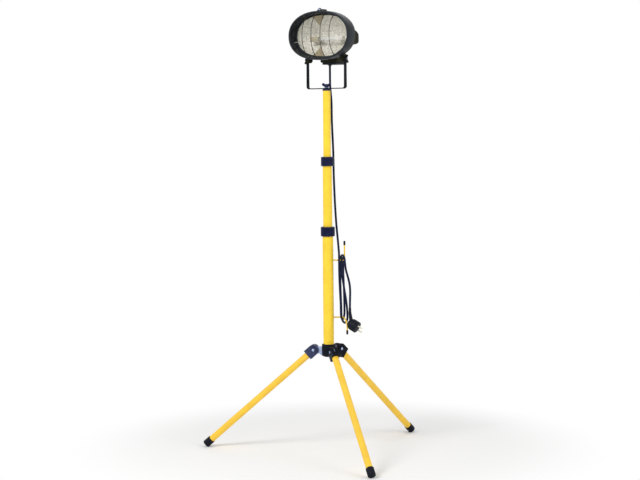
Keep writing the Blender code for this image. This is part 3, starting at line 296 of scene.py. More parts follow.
    @staticmethod
    def smooth(points: list[Point], spacing: float) -> list[Vector]:
        """Points about a spacing apart on a smooth curve through chosen ones.

        Args:
            points: The chosen points.
            spacing: The distance wanted.

        Returns:
            The points.
        """
        knots = [Vector(p) for p in points]
        knots = [2 * knots[0] - knots[1]] + knots + [2 * knots[-1] - knots[-2]]
        path = []
        for k in range(1, len(knots) - 2):
            a, b, c, d = knots[k - 1:k + 3]
            steps = max(1, round((c - b).length / spacing))
            for s in range(steps):
                t = s / steps
                path.append(
                    0.5 * (2 * b + (c - a) * t + (2 * a - 5 * b + 4 * c - d) * t ** 2
                           + (3 * b - a - 3 * c + d) * t ** 3))
        path.append(knots[-2])
        return path

    @staticmethod
    def arc(cx: float, cy: float, radius: float, start: float, end: float,
            steps: int) -> list[tuple[float, float]]:
        """Points on an arc, with its angles in degrees.

        Args:
            cx: Centre across.
            cy: Centre up.
            radius: Its radius.
            start: First angle.
            end: Last angle.
            steps: Number of chords.

        Returns:
            The points.
        """
        points = []
        for k in range(steps + 1):
            a = math.radians(start + (end - start) * k / steps)
            points.append((cx + radius * math.cos(a), cy + radius * math.sin(a)))
        return points

    @classmethod
    def block(cls, name: str, low: Point, high: Point, bevel: float,
              segments: int = 3) -> bpy.types.Object:
        """A box with rounded edges.

        Args:
            name: The piece's name.
            low: Lowest corner.
            high: Highest corner.
            bevel: Radius of its edges.
            segments: Facets across an edge.

        Returns:
            The object.
        """
        model = bmesh.new()
        bmesh.ops.create_cube(model, size=1.0)
        size = Vector(high) - Vector(low)
        middle = (Vector(high) + Vector(low)) / 2
        model.transform(Matrix.Translation(middle) @ Matrix.Diagonal((*size, 1)))
        bmesh.ops.bevel(model, geom=model.edges, offset=bevel, segments=segments,
                        profile=0.5, affect="EDGES")
        return cls.finish(model, name)

    @classmethod
    def plate(cls, name: str, outline: list[tuple[float, float]], thickness: float,
              bevel: float = 0.0) -> bpy.types.Object:
        """A flat piece from an outline in XY, with its edges rounded.

        Args:
            name: The piece's name.
            outline: Points round it.
            thickness: Its thickness, half to each side.
            bevel: Radius of its edges.

        Returns:
            The object.
        """
        model = bmesh.new()
        half = thickness / 2
        rings = [[(x, y, z) for x, y in outline] for z in (-half, half)]
        cls.skin(model, rings)
        if bevel:
            rims = [e for e in model.edges if abs(e.verts[0].co.z - e.verts[1].co.z) < 1e-9]
            bmesh.ops.bevel(model, geom=rims, offset=bevel, segments=3, profile=0.5,
                            affect="EDGES")
        return cls.finish(model, name)

    @staticmethod
    def cut(target: bpy.types.Object, tools: list[bpy.types.Object],
            operation: str = "DIFFERENCE") -> bpy.types.Object:
        """Cuts or joins other shapes with a piece, and keeps only the piece.

        Args:
            target: The piece.
            tools: The shapes, which are removed.
            operation: DIFFERENCE or UNION.

        Returns:
            The piece.
        """
        for tool in tools:
            change = target.modifiers.new("change", "BOOLEAN")
            change.operation = operation
            change.object = tool
            change.solver = "EXACT"
            bpy.context.view_layer.update()
            seen = target.evaluated_get(bpy.context.evaluated_depsgraph_get())
            mesh = bpy.data.meshes.new_from_object(seen)
            target.modifiers.clear()
            target.data = mesh
            bpy.data.objects.remove(tool, do_unlink=True)
        target.data.shade_smooth()
        target.data.set_sharp_from_angle(angle=SHARP)
        return target

    @staticmethod
    def softened(node: str, name: str, bevel: float, segments: int = 2) -> bpy.types.Object:
        """A copy of a frame node with its edges rounded.

        Args:
            node: The node.
            name: The piece's name.
            bevel: Radius of its edges.
            segments: Facets across an edge.

        Returns:
            The object.
        """
        model = bmesh.new()
        model.from_mesh(FRAME["nodes"][node].data)
        bmesh.ops.remove_doubles(model, verts=model.verts, dist=WELD)
        bmesh.ops.dissolve_limit(model, angle_limit=FLAT, verts=model.verts, edges=model.edges)
        obj = Shape.finish(model, name)
        edge = obj.modifiers.new("edge", "BEVEL")
        edge.width = bevel
        edge.segments = segments
        edge.limit_method = "ANGLE"
        edge.angle_limit = SHARP
        edge.harden_normals = False
        bpy.context.view_layer.update()
        seen = obj.evaluated_get(bpy.context.evaluated_depsgraph_get())
        mesh = bpy.data.meshes.new_from_object(seen)
        obj.modifiers.clear()
        obj.data = mesh
        mesh.shade_smooth()
        mesh.set_sharp_from_angle(angle=SHARPER)
        return obj


# ---------------------------------------------------------------- finishes
def linear(red: int, green: int, blue: int) -> tuple[float, float, float, float]:
    """A screen colour as the shader wants it.

    Args:
        red: 0 to 255.
        green: 0 to 255.
        blue: 0 to 255.

    Returns:
        The linear colour with alpha 1.
    """
    def channel(value: int) -> float:
        """One channel, made linear."""
        v = value / 255
        return v / 12.92 if v <= 0.04045 else ((v + 0.055) / 1.055) ** 2.4
    return (channel(red), channel(green), channel(blue), 1.0)


class Nodes:
    """Short ways to add nodes to a tree."""

    def __init__(self, tree: bpy.types.NodeTree) -> None:
        """Keeps the tree that the nodes go into."""
        self.tree = tree

    def new(self, kind: str, **options: str | bool) -> bpy.types.Node:
        """Adds a node.

        Args:
            kind: Its type, without the words that all types start with.
            **options: Its settings.

        Returns:
            The node.
        """
        node = self.tree.nodes.new("ShaderNode" + kind)
        for option, value in options.items():
            setattr(node, option, value)
        return node

    def feed(self, socket: bpy.types.NodeSocket, value: Value) -> None:
        """Sets a socket to a constant, or links another socket to it.

        Args:
            socket: The socket that takes it.
            value: The constant or the other socket.
        """
        if isinstance(value, bpy.types.NodeSocket):
            self.tree.links.new(value, socket)
        else:
            socket.default_value = value

    def maths(self, operation: str, *values: Value, clamp: bool = False) -> bpy.types.NodeSocket:
        """Works out one number.

        Args:
            operation: What is done.
            *values: What it is done to.
            clamp: Whether the result is kept within 0 to 1.

        Returns:
            The result.
        """
        node = self.new("Math", operation=operation, use_clamp=clamp)
        for socket, value in zip(node.inputs, values):
            self.feed(socket, value)
        return node.outputs[0]

    def spread(self, value: Value, low: float = 0.0, high: float = 1.0, to_low: float = 0.0,
               to_high: float = 1.0, interpolation: str = "LINEAR") -> bpy.types.NodeSocket:
        """Maps a range to another.

        Args:
            value: What is mapped.
            low: Where the range starts.
            high: Where it ends.
            to_low: Where the new range starts.
            to_high: Where it ends.
            interpolation: How it gets from one end to the other.

        Returns:
            The result.
        """
        node = self.new("MapRange", interpolation_type=interpolation)
        for name, part in (("Value", value), ("From Min", low), ("From Max", high),
                           ("To Min", to_low), ("To Max", to_high)):
            self.feed(node.inputs[name], part)
        return node.outputs["Result"]

    def mixed(self, share: Value, one: Value, two: Value) -> bpy.types.NodeSocket:
        """Mixes two colours.

        Args:
            share: How much of the second.
            one: The first colour.
            two: The second colour.

        Returns:
            The colour.
        """
        node = self.new("Mix", data_type="RGBA")
        for name, part in (("Factor", share), ("A", one), ("B", two)):
            self.feed(node.inputs[name], part)
        return node.outputs["Result"]


class Grain(Enum):
    """The fine relief of a surface."""

    SMOOTH = "smooth"
    POWDER = "powder"
    MOULDED = "moulded"
    HAMMERED = "hammered"
    BRUSHED = "brushed"


PATCHES = 38.0               # noise details to the metre: broad patches of shade,
FINE = 420.0                 # fine specks,
DENT_SHADE = 150.0                # and the painted light and shade on a hammered sheet's dented face
COAT_ROUGH = 0.12            # roughness of a clear coat
BRUSH_STRETCH = (1.0, 1.0, 0.06)   # brushed grain runs along Z


@dataclass(frozen=True)
class Finish:
    """A surface: its colours, gloss, relief and wear.

    Attributes:
        base: Screen colour.
        worn: Screen colour of rubbed edges and patches; on the lit fork plastic, of painted
            highlights on the edges.
        rough: Roughness.
        metal: Metallic, 0 to 1.
        grain: Its relief.
        scale: Relief details to the metre.
        depth: Strength of the relief.
        wear: How much of the edges is rubbed.
        mottle: How much the colour varies; on a hammered sheet, as painted light and shade of its
            dented face.
        coat: Clear coat weight.
        alpha: How solid it is.
        specular: Specular level.
    """

    base: tuple[int, int, int]
    worn: tuple[int, int, int]
    rough: float = 0.45
    metal: float = 0.0
    grain: Grain = Grain.MOULDED
    scale: float = 900.0
    depth: float = 0.15
    wear: float = 0.0
    mottle: float = 0.12
    coat: float = 0.0
    alpha: float = 1.0
    specular: float = 0.5

    def material(self, name: str) -> bpy.types.Material:
        """Builds the procedural material.

        Args:
            name: The material's name.

        Returns:
            The material.
        """
        made = bpy.data.materials.new(name)
        made.use_nodes = True
        nodes = Nodes(made.node_tree)
        place = nodes.new("TexCoord").outputs["Object"]
        patches = self._noise(nodes, place, PATCHES, 4.0)
        fine = self._noise(nodes, place, FINE, 3.0)
        # On a hammered sheet a finer noise sets the colour's mottle, as painted light and shade of
        # its dented face; otherwise the broad patches do.
        mottle_and_dent_shade = self._noise(nodes, place, DENT_SHADE, 2.0) if self.grain is Grain.HAMMERED else patches
        dark = [round(c * (1 - self.mottle)) for c in self.base]
        light = [min(255, round(c + (255 - c) * self.mottle * 0.35)) for c in self.base]
        colour = nodes.mixed(mottle_and_dent_shade, linear(*dark), linear(*light))
        if self.wear:
            colour = self._wear(nodes, colour, fine, patches)
        gloss = nodes.spread(fine, to_low=max(0.02, self.rough * 0.82),
                             to_high=min(1.0, self.rough * 1.2))
        shader = made.node_tree.nodes["Principled BSDF"]
        for socket, value in (
                ("Base Color", colour), ("Roughness", gloss), ("Metallic", self.metal),
                ("Coat Weight", self.coat), ("Coat Roughness", COAT_ROUGH),
                ("Specular IOR Level", self.specular), ("Alpha", self.alpha)):
            nodes.feed(shader.inputs[socket], value)
        if self.grain is not Grain.SMOOTH:
            nodes.feed(shader.inputs["Normal"], self._relief(nodes, place))
        return made

    @staticmethod
    def _noise(nodes: Nodes, place: bpy.types.NodeSocket, scale: float,
               detail: float) -> bpy.types.NodeSocket:
        """A noise over the surface.

        Args:
            nodes: The material's nodes.
            place: Where it is read.
            scale: Details to the metre.
            detail: Octaves.

        Returns:
            Its value, spread over 0 to 1.
        """
        source = nodes.new("TexNoise")
        for name, value in (("Scale", scale), ("Detail", detail), ("Vector", place)):
            nodes.feed(source.inputs[name], value)
        return nodes.spread(source.outputs["Fac"], 0.32, 0.68)

    def _wear(self, nodes: Nodes, colour: bpy.types.NodeSocket, fine: bpy.types.NodeSocket,
              patches: bpy.types.NodeSocket) -> bpy.types.NodeSocket:
        """Rubs the edges and some specks to the worn colour, which on the lit fork plastic paints
        highlights on the edges.

        Args:
            nodes: The material's nodes.
            colour: The colour so far.
            fine: Fine noise.
            patches: Broad noise.

        Returns:
            The new colour.
        """
        edge = nodes.spread(nodes.new("NewGeometry").outputs["Pointiness"], 0.515, 0.60)
        broken = nodes.maths("MULTIPLY", edge, fine)
        specks = nodes.spread(nodes.maths("MULTIPLY", fine, patches), 0.93, 1.0)
        weak = nodes.maths("MULTIPLY", specks, self.wear * 0.5)
        total = nodes.maths("MULTIPLY_ADD", broken, self.wear, weak, clamp=True)
        return nodes.mixed(total, colour, linear(*self.worn))

    def _relief(self, nodes: Nodes, place: bpy.types.NodeSocket) -> bpy.types.NodeSocket:
        """The surface's fine relief as a normal.

        Args:
            nodes: The material's nodes.
            place: Where it is read.

        Returns:
            The normal.
        """
        if self.grain is Grain.HAMMERED:
            source = nodes.new("TexVoronoi", feature="SMOOTH_F1")
            height = source.outputs["Distance"]
        else:
            source = nodes.new("TexNoise")
            nodes.feed(source.inputs["Detail"], 2.0 if self.grain is Grain.POWDER else 5.0)
            height = source.outputs["Fac"]
        if self.grain is Grain.BRUSHED:
            stretch = nodes.new("Mapping")
            nodes.feed(stretch.inputs["Scale"], BRUSH_STRETCH)
            nodes.feed(stretch.inputs["Vector"], place)
            place = stretch.outputs["Vector"]
        nodes.feed(source.inputs["Scale"], self.scale)
        nodes.feed(source.inputs["Vector"], place)
        bump = nodes.new("Bump")
        for name, value in (("Strength", self.depth), ("Distance", 0.6 / self.scale),
                            ("Height", height)):
            nodes.feed(bump.inputs[name], value)
        return bump.outputs["Normal"]


MAST_PAINT = Finish((255, 214, 44), (255, 236, 140), 0.34, grain=Grain.POWDER, scale=700,
                    depth=0.10, wear=0.25, mottle=0.05, coat=0.12, specular=0.2)
LEG_PAINT = Finish((255, 204, 44), (255, 226, 120), 0.36, grain=Grain.POWDER, scale=700,
                   depth=0.12, wear=0.25, mottle=0.06, coat=0.15, specular=0.35)
BLACK_PLASTIC = Finish((10, 14, 22), (92, 100, 122), 0.40, scale=1400, depth=0.22, wear=0.35,
                       specular=0.05)
NAVY_PLASTIC = Finish((15, 21, 56), (104, 116, 168), 0.30, scale=1400, depth=0.1, wear=0.3,
                      specular=0.1)
# A lighter copy of the black plastic for one fork: painted light, with brighter worn edges as
# painted highlights on its rounded cheeks.
LIT_FORK_PLASTIC = Finish((34, 42, 76), (98, 108, 144), 0.42, scale=1400, depth=0.22, wear=0.35,
                      specular=0.2)
HEAD_PAINT = Finish((26, 31, 36), (78, 84, 92), 0.46, grain=Grain.POWDER, scale=1100,
                    depth=0.3, wear=0.35, mottle=0.18, specular=0.16)
OLIVE_PAINT = Finish((28, 29, 15), (80, 82, 58), 0.58, grain=Grain.POWDER, scale=1100,
                     depth=0.3, wear=0.3, mottle=0.18, specular=0.08)
YOKE_PAINT = Finish((6, 9, 12), (70, 78, 96), 0.38, grain=Grain.POWDER, scale=1100,
                    depth=0.2, wear=0.3, specular=0.04)
# One guard steel in two copies: dark on the upright wires as painted shade, bright on the wire
# across as a painted highlight.
SHADED_GUARD_STEEL = Finish((66, 60, 58), (150, 146, 140), 0.34, 0.5, Grain.BRUSHED, 1600, 0.1, 0.3)
LIT_GUARD_WIRE = Finish((176, 172, 162), (220, 216, 206), 0.34, 0.4, Grain.BRUSHED, 1600, 0.1, 0.3)
DARK_STEEL = Finish((52, 60, 88), (140, 150, 180), 0.36, 0.6, Grain.BRUSHED, 1600, 0.1, 0.3)
RUBBER = Finish((11, 15, 25), (46, 54, 72), 0.5, scale=1800, depth=0.2, wear=0.3,
                specular=0.12)
CORD_RUBBER = Finish((14, 21, 50), (56, 68, 108), 0.5, scale=1600, depth=0.18, wear=0.2,
                     specular=0.1)
ZINC = Finish((168, 184, 220), (220, 228, 244), 0.34, 0.8, Grain.BRUSHED, 1600, 0.12, 0.3)
NICKEL = Finish((226, 220, 200), (245, 243, 235), 0.2, 1.0, Grain.BRUSHED, 1600, 0.08, 0.2)
# Its colour mottle paints the light and shade of the hammered face.
HAMMERED_SILVER = Finish((255, 251, 236), (255, 252, 244), 0.36, 0.10, Grain.HAMMERED, 220,
                         0.9, 0.0, 0.20)
# A darker olive colour for the darts: painted shade on the reflector's left.
DART_PAINTED_SHADE = Finish((188, 172, 136), (232, 222, 192), 0.42, 0.25, Grain.BRUSHED, 1200, 0.1, 0.2)
# Darker and whiter copies of one ceramic for the two lamp holders: painted shade on the left one,
# painted light on the right one.
SHADED_CERAMIC = Finish((176, 164, 132), (232, 222, 192), 0.5, scale=900, depth=0.1, wear=0.3)
LIT_CERAMIC = Finish((236, 232, 222), (255, 252, 244), 0.5, scale=900, depth=0.1, wear=0.3)
CLEAR_GLASS = Finish((236, 244, 246), (255, 255, 255), 0.04, grain=Grain.SMOOTH, mottle=0.02,
                     alpha=0.03, specular=0.5)
QUARTZ = Finish((240, 240, 236), (255, 255, 255), 0.08, grain=Grain.SMOOTH, mottle=0.02,
                alpha=0.55, specular=0.8)


def dress(obj: bpy.types.Object, finish: Finish) -> bpy.types.Object:
    """Gives a piece its finish.

    Args:
        obj: The piece.
        finish: What it is made of.

    Returns:
        The piece.
    """
    obj.data.materials.clear()
    obj.data.materials.append(finish.material("finish_" + obj.name))
    return obj


def settle(obj: bpy.types.Object, finish: Finish, body: str, *nodes: str,
           matrix: Matrix | None = None) -> bpy.types.Object:
    """Places, dresses and fastens a piece, and hides the nodes that it replaces.

    Args:
        obj: The piece.
        finish: What it is made of.
        body: The frame's body that carries it.
        *nodes: The frame's nodes that it replaces, which are hidden.
        matrix: Its place, which goes into the mesh.

    Returns:
        The piece.
    """
    if matrix:
        obj.data.transform(matrix)
        if matrix.is_negative:
            obj.data.flip_normals()
    dress(obj, finish)
    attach(obj, body)
    if nodes:
        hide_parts(*nodes)
    log.info("%s on %s: %d faces", obj.name, body, len(obj.data.polygons))
    return obj


# ---------------------------------------------------------------- the studio
@dataclass
class Studio:
    """The floor, the light and the camera.

    Attributes:
        distance: Camera from the mast, level.
        height: Camera above the floor.
        pitch: Degrees down.
        yaw: Degrees to the right.
        roll: Degrees that the view is turned left.
        focal: Focal length in picture widths.
        floor: Floor's screen colour.
        floor_size: Floor's side.
        plain: Floor's radius that only takes light and shadow.
        white: Radius from which it shows plain white.
        surround: How strongly the white surround lights the object.
        aim: Height that the lamps look at.
        lamps: Name, place in the photograph's frame, side and watts of each lamp.
    """

    distance: float = 5.090
    height: float = 1.0756
    pitch: float = 4.249
    yaw: float = -0.289
    roll: float = 0.513
    focal: float = 1566 / 640
    floor: tuple[int, int, int] = (254, 254, 254)
    floor_size: float = 40.0
    plain: float = 0.50
    white: float = 0.95
    surround: float = 0.52
    aim: float = 0.8
    lamps: tuple[tuple[str, Point, float, float], ...] = (
        ("key", (-2.2, -2.6, 3.2), 1.6, 84.0), ("fill", (2.8, -2.2, 2.0), 2.0, 34.0),
        ("rim", (0.8, 2.4, 2.6), 1.8, 10.0))

    def camera(self) -> None:
        """Places the camera at the photograph's view."""
        p, w, r = (math.radians(v) for v in (self.pitch, self.yaw, self.roll))
        right = Vector((math.cos(w), -math.sin(w), 0))
        up = Vector((math.sin(w) * math.sin(p), math.cos(w) * math.sin(p), math.cos(p)))
        back = right.cross(up)
        right, up = (right * math.cos(r) - up * math.sin(r),
                     right * math.sin(r) + up * math.cos(r))
        turn = Matrix((right, up, back)).transposed().to_4x4()
        lens = bpy.data.cameras.new("camera")
        lens.sensor_fit = "HORIZONTAL"
        lens.sensor_width = 36.0
        lens.lens = self.focal * lens.sensor_width
        lens.clip_end = 60
        eye = bpy.data.objects.new("camera", lens)
        at = Matrix.Translation((0, -self.distance, self.height))
        stand = Matrix.Translation((MAST_X, MAST_Y, 0)) @ Matrix.Rotation(PHOTO_TURN, 4, "Z")
        eye.matrix_world = stand @ at @ turn
        bpy.context.scene.collection.objects.link(eye)
        bpy.context.scene.camera = eye

    def lamp(self, name: str, at: Point, size: float, power: float) -> None:
        """Hangs one soft lamp that looks at the stand.

        Args:
            name: Its name.
            at: Its place in the photograph's frame.
            size: Its side.
            power: Its power in watts.
        """
        data = bpy.data.lights.new(name, "AREA")
        data.shape = "SQUARE"
        data.size = size
        data.energy = power
        obj = bpy.data.objects.new(name, data)
        place = Matrix.Rotation(PHOTO_TURN, 3, "Z") @ Vector(at)
        aim = Vector((0, 0, self.aim)) - place
        turn = aim.to_track_quat("-Z", "Y").to_matrix().to_4x4()
        obj.matrix_world = Matrix.Translation(place) @ turn
        bpy.context.scene.collection.objects.link(obj)

    def backdrop(self) -> None:
        """Lays the pale floor, which keeps the object's shadow."""
        bpy.ops.mesh.primitive_plane_add(size=self.floor_size, location=(0, 0, 0))
        plane = bpy.context.object
        plane.name = "floor"
        made = bpy.data.materials.new("floor")
        made.use_nodes = True
        nodes = Nodes(made.node_tree)
        shader = made.node_tree.nodes["Principled BSDF"]
        for name, value in (("Base Color", linear(*self.floor)), ("Roughness", 0.9),
                            ("Specular IOR Level", 0.0)):
            nodes.feed(shader.inputs[name], value)
        away = nodes.new("VectorMath", operation="LENGTH")
        nodes.feed(away.inputs[0], nodes.new("TexCoord").outputs["Object"])
        share = nodes.spread(away.outputs["Value"], self.plain, self.white,
                             interpolation="SMOOTHSTEP")
        whitened = nodes.maths("MULTIPLY", share, self.shown(nodes))
        mix = nodes.new("MixShader")
        surfaces = (whitened, shader.outputs[0], nodes.new("Emission").outputs[0])
        for socket, value in zip(mix.inputs, surfaces):
            nodes.feed(socket, value)
        end = made.node_tree.nodes["Material Output"]
        nodes.feed(end.inputs["Surface"], mix.outputs[0])
        plane.data.materials.append(made)

    @staticmethod
    def shown(nodes: Nodes) -> bpy.types.NodeSocket:
        """Whether a ray shows the surround: seen, mirrored or looked through.

        Args:
            nodes: The nodes to add to.

        Returns:
            1 for such a ray, and 0 for one that only lights.
        """
        path = nodes.new("LightPath").outputs
        seen = nodes.maths("MAXIMUM", path["Is Camera Ray"], path["Is Glossy Ray"])
        return nodes.maths("MAXIMUM", seen, path["Is Transmission Ray"])

    def sky(self) -> None:
        """Hangs a white surround that lights softly and shows white."""
        world = bpy.data.worlds.new("surround")
        bpy.context.scene.world = world
        world.use_nodes = True
        nodes = Nodes(world.node_tree)
        back = world.node_tree.nodes["Background"]
        nodes.feed(back.inputs["Color"], (1, 1, 1, 1))
        level = nodes.spread(self.shown(nodes), to_low=self.surround)
        nodes.feed(back.inputs["Strength"], level)

    def build(self) -> None:
        """Sets up the whole studio."""
        bpy.context.scene.view_settings.view_transform = "Standard"
        self.camera()
        self.backdrop()
        self.sky()
        for name, at, size, power in self.lamps:
            self.lamp(name, at, size, power)


# ---------------------------------------------------------------- mains cord
@dataclass
class MainsCord:
    """The mains cord: from the lamp's gland down the mast, wound on the hooks, to its plug.

    Attributes:
        diameter: Of the cord.
        hook_azimuth: Degrees from +X to the hooks.
        upper_hook: Height of the upper hook.
        lower_hook: Height of the lower hook.
        hook_radius: Of the hooks' wire.
        slack: Room between the hooks and the cord.
        fold: Radius at the hooks.
        waist: Half the distance between the runs midway.
        climb: How far the second turn passes above the first.
        drop: How far the second turn hangs below the first.
        steps: Points to a run.
        drop_spacing: Between the rings of the free drop's mesh.
        hank_spacing: The same on the wound cord.
        gland_y: The gland behind the mast's axis.
        gland_z: Height at which the cord leaves it.
        plug_entry: Height at which the cord enters the plug's strain relief.
        plug_depth: How far in front of the hooks it does so.
        route: The free drop beside the mast.
        runs: How far out each wound run lies at its top, middle and bottom.
        splits: Heights where the drop passes from one body to the next.
    """

    diameter: float = 0.0072
    hook_azimuth: float = 34.8
    upper_hook: float = 0.631
    lower_hook: float = 0.444
    hook_radius: float = 0.0024
    slack: float = 0.0014
    fold: float = 0.0222
    waist: float = 0.0130
    climb: float = 0.0088
    drop: float = 0.0110
    steps: int = 6
    drop_spacing: float = 0.006
    hank_spacing: float = 0.0045
    gland_y: float = 0.0200
    gland_z: float = 1.2617
    plug_entry: float = 0.477
    plug_depth: float = 0.032
    route: tuple[Point, ...] = (
        (0.0114, 0.0164, 1.2300), (0.0116, 0.0168, 1.2050), (0.0130, 0.0182, 1.1800),
        (0.0156, 0.0192, 1.1450), (0.0164, 0.0192, 1.0800), (0.0195, 0.0195, 1.0000),
        (0.0205, 0.0190, 0.9500), (0.0212, 0.0178, 0.9000), (0.0240, 0.0150, 0.8200),
        (0.0272, 0.0140, 0.7600), (0.0300, 0.0100, 0.7250), (0.0322, 0.0010, 0.7000),
        (0.0342, -0.0105, 0.6760), (0.0358, -0.0190, 0.6540), (0.0358, -0.0221, 0.6400),
        (0.0358, -0.0222, 0.6310))
    runs: tuple[Point, ...] = (
        (0.0358, 0.0378, 0.0405), (0.0492, 0.0512, 0.0525), (0.0436, 0.0530, 0.0617),
        (0.0398, 0.0400, 0.0425), (0.0548, 0.0692, 0.0698))
    splits: tuple[float, ...] = (1.214, 1.160, 0.925)

    def beside(self, point: Point) -> Point:
        """A point given outward along the hooks, square to them, and up.

        Args:
            point: The point beside the mast.

        Returns:
            The point in the frame.
        """
        u, v, z = point
        a = math.radians(self.hook_azimuth)
        c, s = math.cos(a), math.sin(a)
        return (MAST_X + u * c - v * s, MAST_Y + u * s + v * c, z)

    def drop_path(self) -> list[Vector]:
        """The free drop's route.

        Returns:
            Its points, from the gland to the first hook.
        """
        a = math.radians(self.hook_azimuth)
        u, v = self.gland_y * math.sin(a), self.gland_y * math.cos(a)
        route = [(u, v, self.gland_z), (u, v, self.gland_z - self.diameter), *self.route]
        return Shape.smooth([self.beside(p) for p in route], self.drop_spacing)

    def hank_path(self) -> list[Vector]:
        """The wound cord's route, over the upper hook and under the lower one.

        Returns:
            Its points, from the end of the free drop to the plug.
        """
        touch = self.hook_radius + self.diameter / 2 + self.slack
        tops = [self.upper_hook + touch, self.upper_hook + touch + self.climb]
        lows = [self.lower_hook - touch, self.lower_hook - touch - self.drop]
        start = self.route[-1][2] - FIT
        points: list[Point] = []
        last = len(self.runs) - 1
        for k, (u_top, u_middle, u_low) in enumerate(self.runs):
            down = k % 2 == 0
            side = -1 if down else 1
            level = max(k // 2 - 1, 0) if down else min(k // 2, 1)
            z_top = tops[level] - self.fold
            z_low = lows[min(k // 2, 1)] + self.fold
            if k == 0:
                z_top = start - self.diameter
                points.append((u_top, -self.fold, start))
            if k == last:
                z_low = self.plug_entry + self.diameter
            run = []
            for s in range(self.steps + 1):
                t = s / self.steps
                swell = math.sin(math.pi * t) ** 2
                depth = self.fold - (self.fold - self.waist) * swell
                u = u_top + (u_low - u_top) * t * t * (3 - 2 * t)
                u += (u_middle - (u_top + u_low) / 2) * swell
                if k == last and t > 0.5:
                    depth = self.waist + (self.plug_depth - self.waist) * (1 - swell)
                run.append((u, side * depth, z_top + (z_low - z_top) * t))
            if not down:
                run.reverse()
            points += run
            if k == last:
                points.append((u_low, -self.plug_depth, self.plug_entry))
                break
            u_from, u_to = (u_low, self.runs[k + 1][2]) if down else (u_top, self.runs[k + 1][0])
            centre, swing = (z_low, -1) if down else (z_top, 1)
            for s in range(1, self.steps):
                t = s / self.steps
                a = math.pi * t
                points.append((u_from + (u_to - u_from) * t * t * (3 - 2 * t),
                               side * self.fold * math.cos(a),
                               centre + swing * self.fold * math.sin(a)))
        return Shape.smooth([self.beside(p) for p in points], self.hank_spacing)

    @staticmethod
    def length(path: list[Vector]) -> float:
        """The length of a path, from its points."""
        return sum((b - a).length for a, b in zip(path, path[1:]))

    def stretches(self) -> list[list[Vector]]:
        """The free drop, cut at the splits.

        Returns:
            Its stretches from the top, with each cut point in both of its own.
        """
        path = self.drop_path()
        parts, rest = [], path
        for z in self.splits:
            k = next(i for i, p in enumerate(rest) if p.z < z)
            parts.append(rest[:k + 1])
            rest = rest[k:]
        return parts + [rest]

    def build(self, plug_pieces: list[bpy.types.Object]) -> None:
        """Builds the cord: the drop in stretches cut at the splits, each named for a body, and the
        wound cord on the root.

        Args:
            plug_pieces: What is on its far end. Not used.
        """
        bodies = ["head", "yoke", "upper_mast", "middle_mast", "root"]
        for k, path in enumerate(self.stretches()):
            name = f"cord_{bodies[k]}"
            piece = dress(Shape.tube(name, path, self.diameter / 2), CORD_RUBBER)
            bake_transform(piece)
            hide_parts("cord_drop")
            self.length(path)
            log.info("%s: %.3f m", name, self.length(path))
        path = self.hank_path()
        hank = settle(Shape.tube("cord_wound", path, self.diameter / 2), CORD_RUBBER, "root",
                      "cord_hank")
        self.length(path)
        log.info("cord_wound: %.3f m", self.length(path))


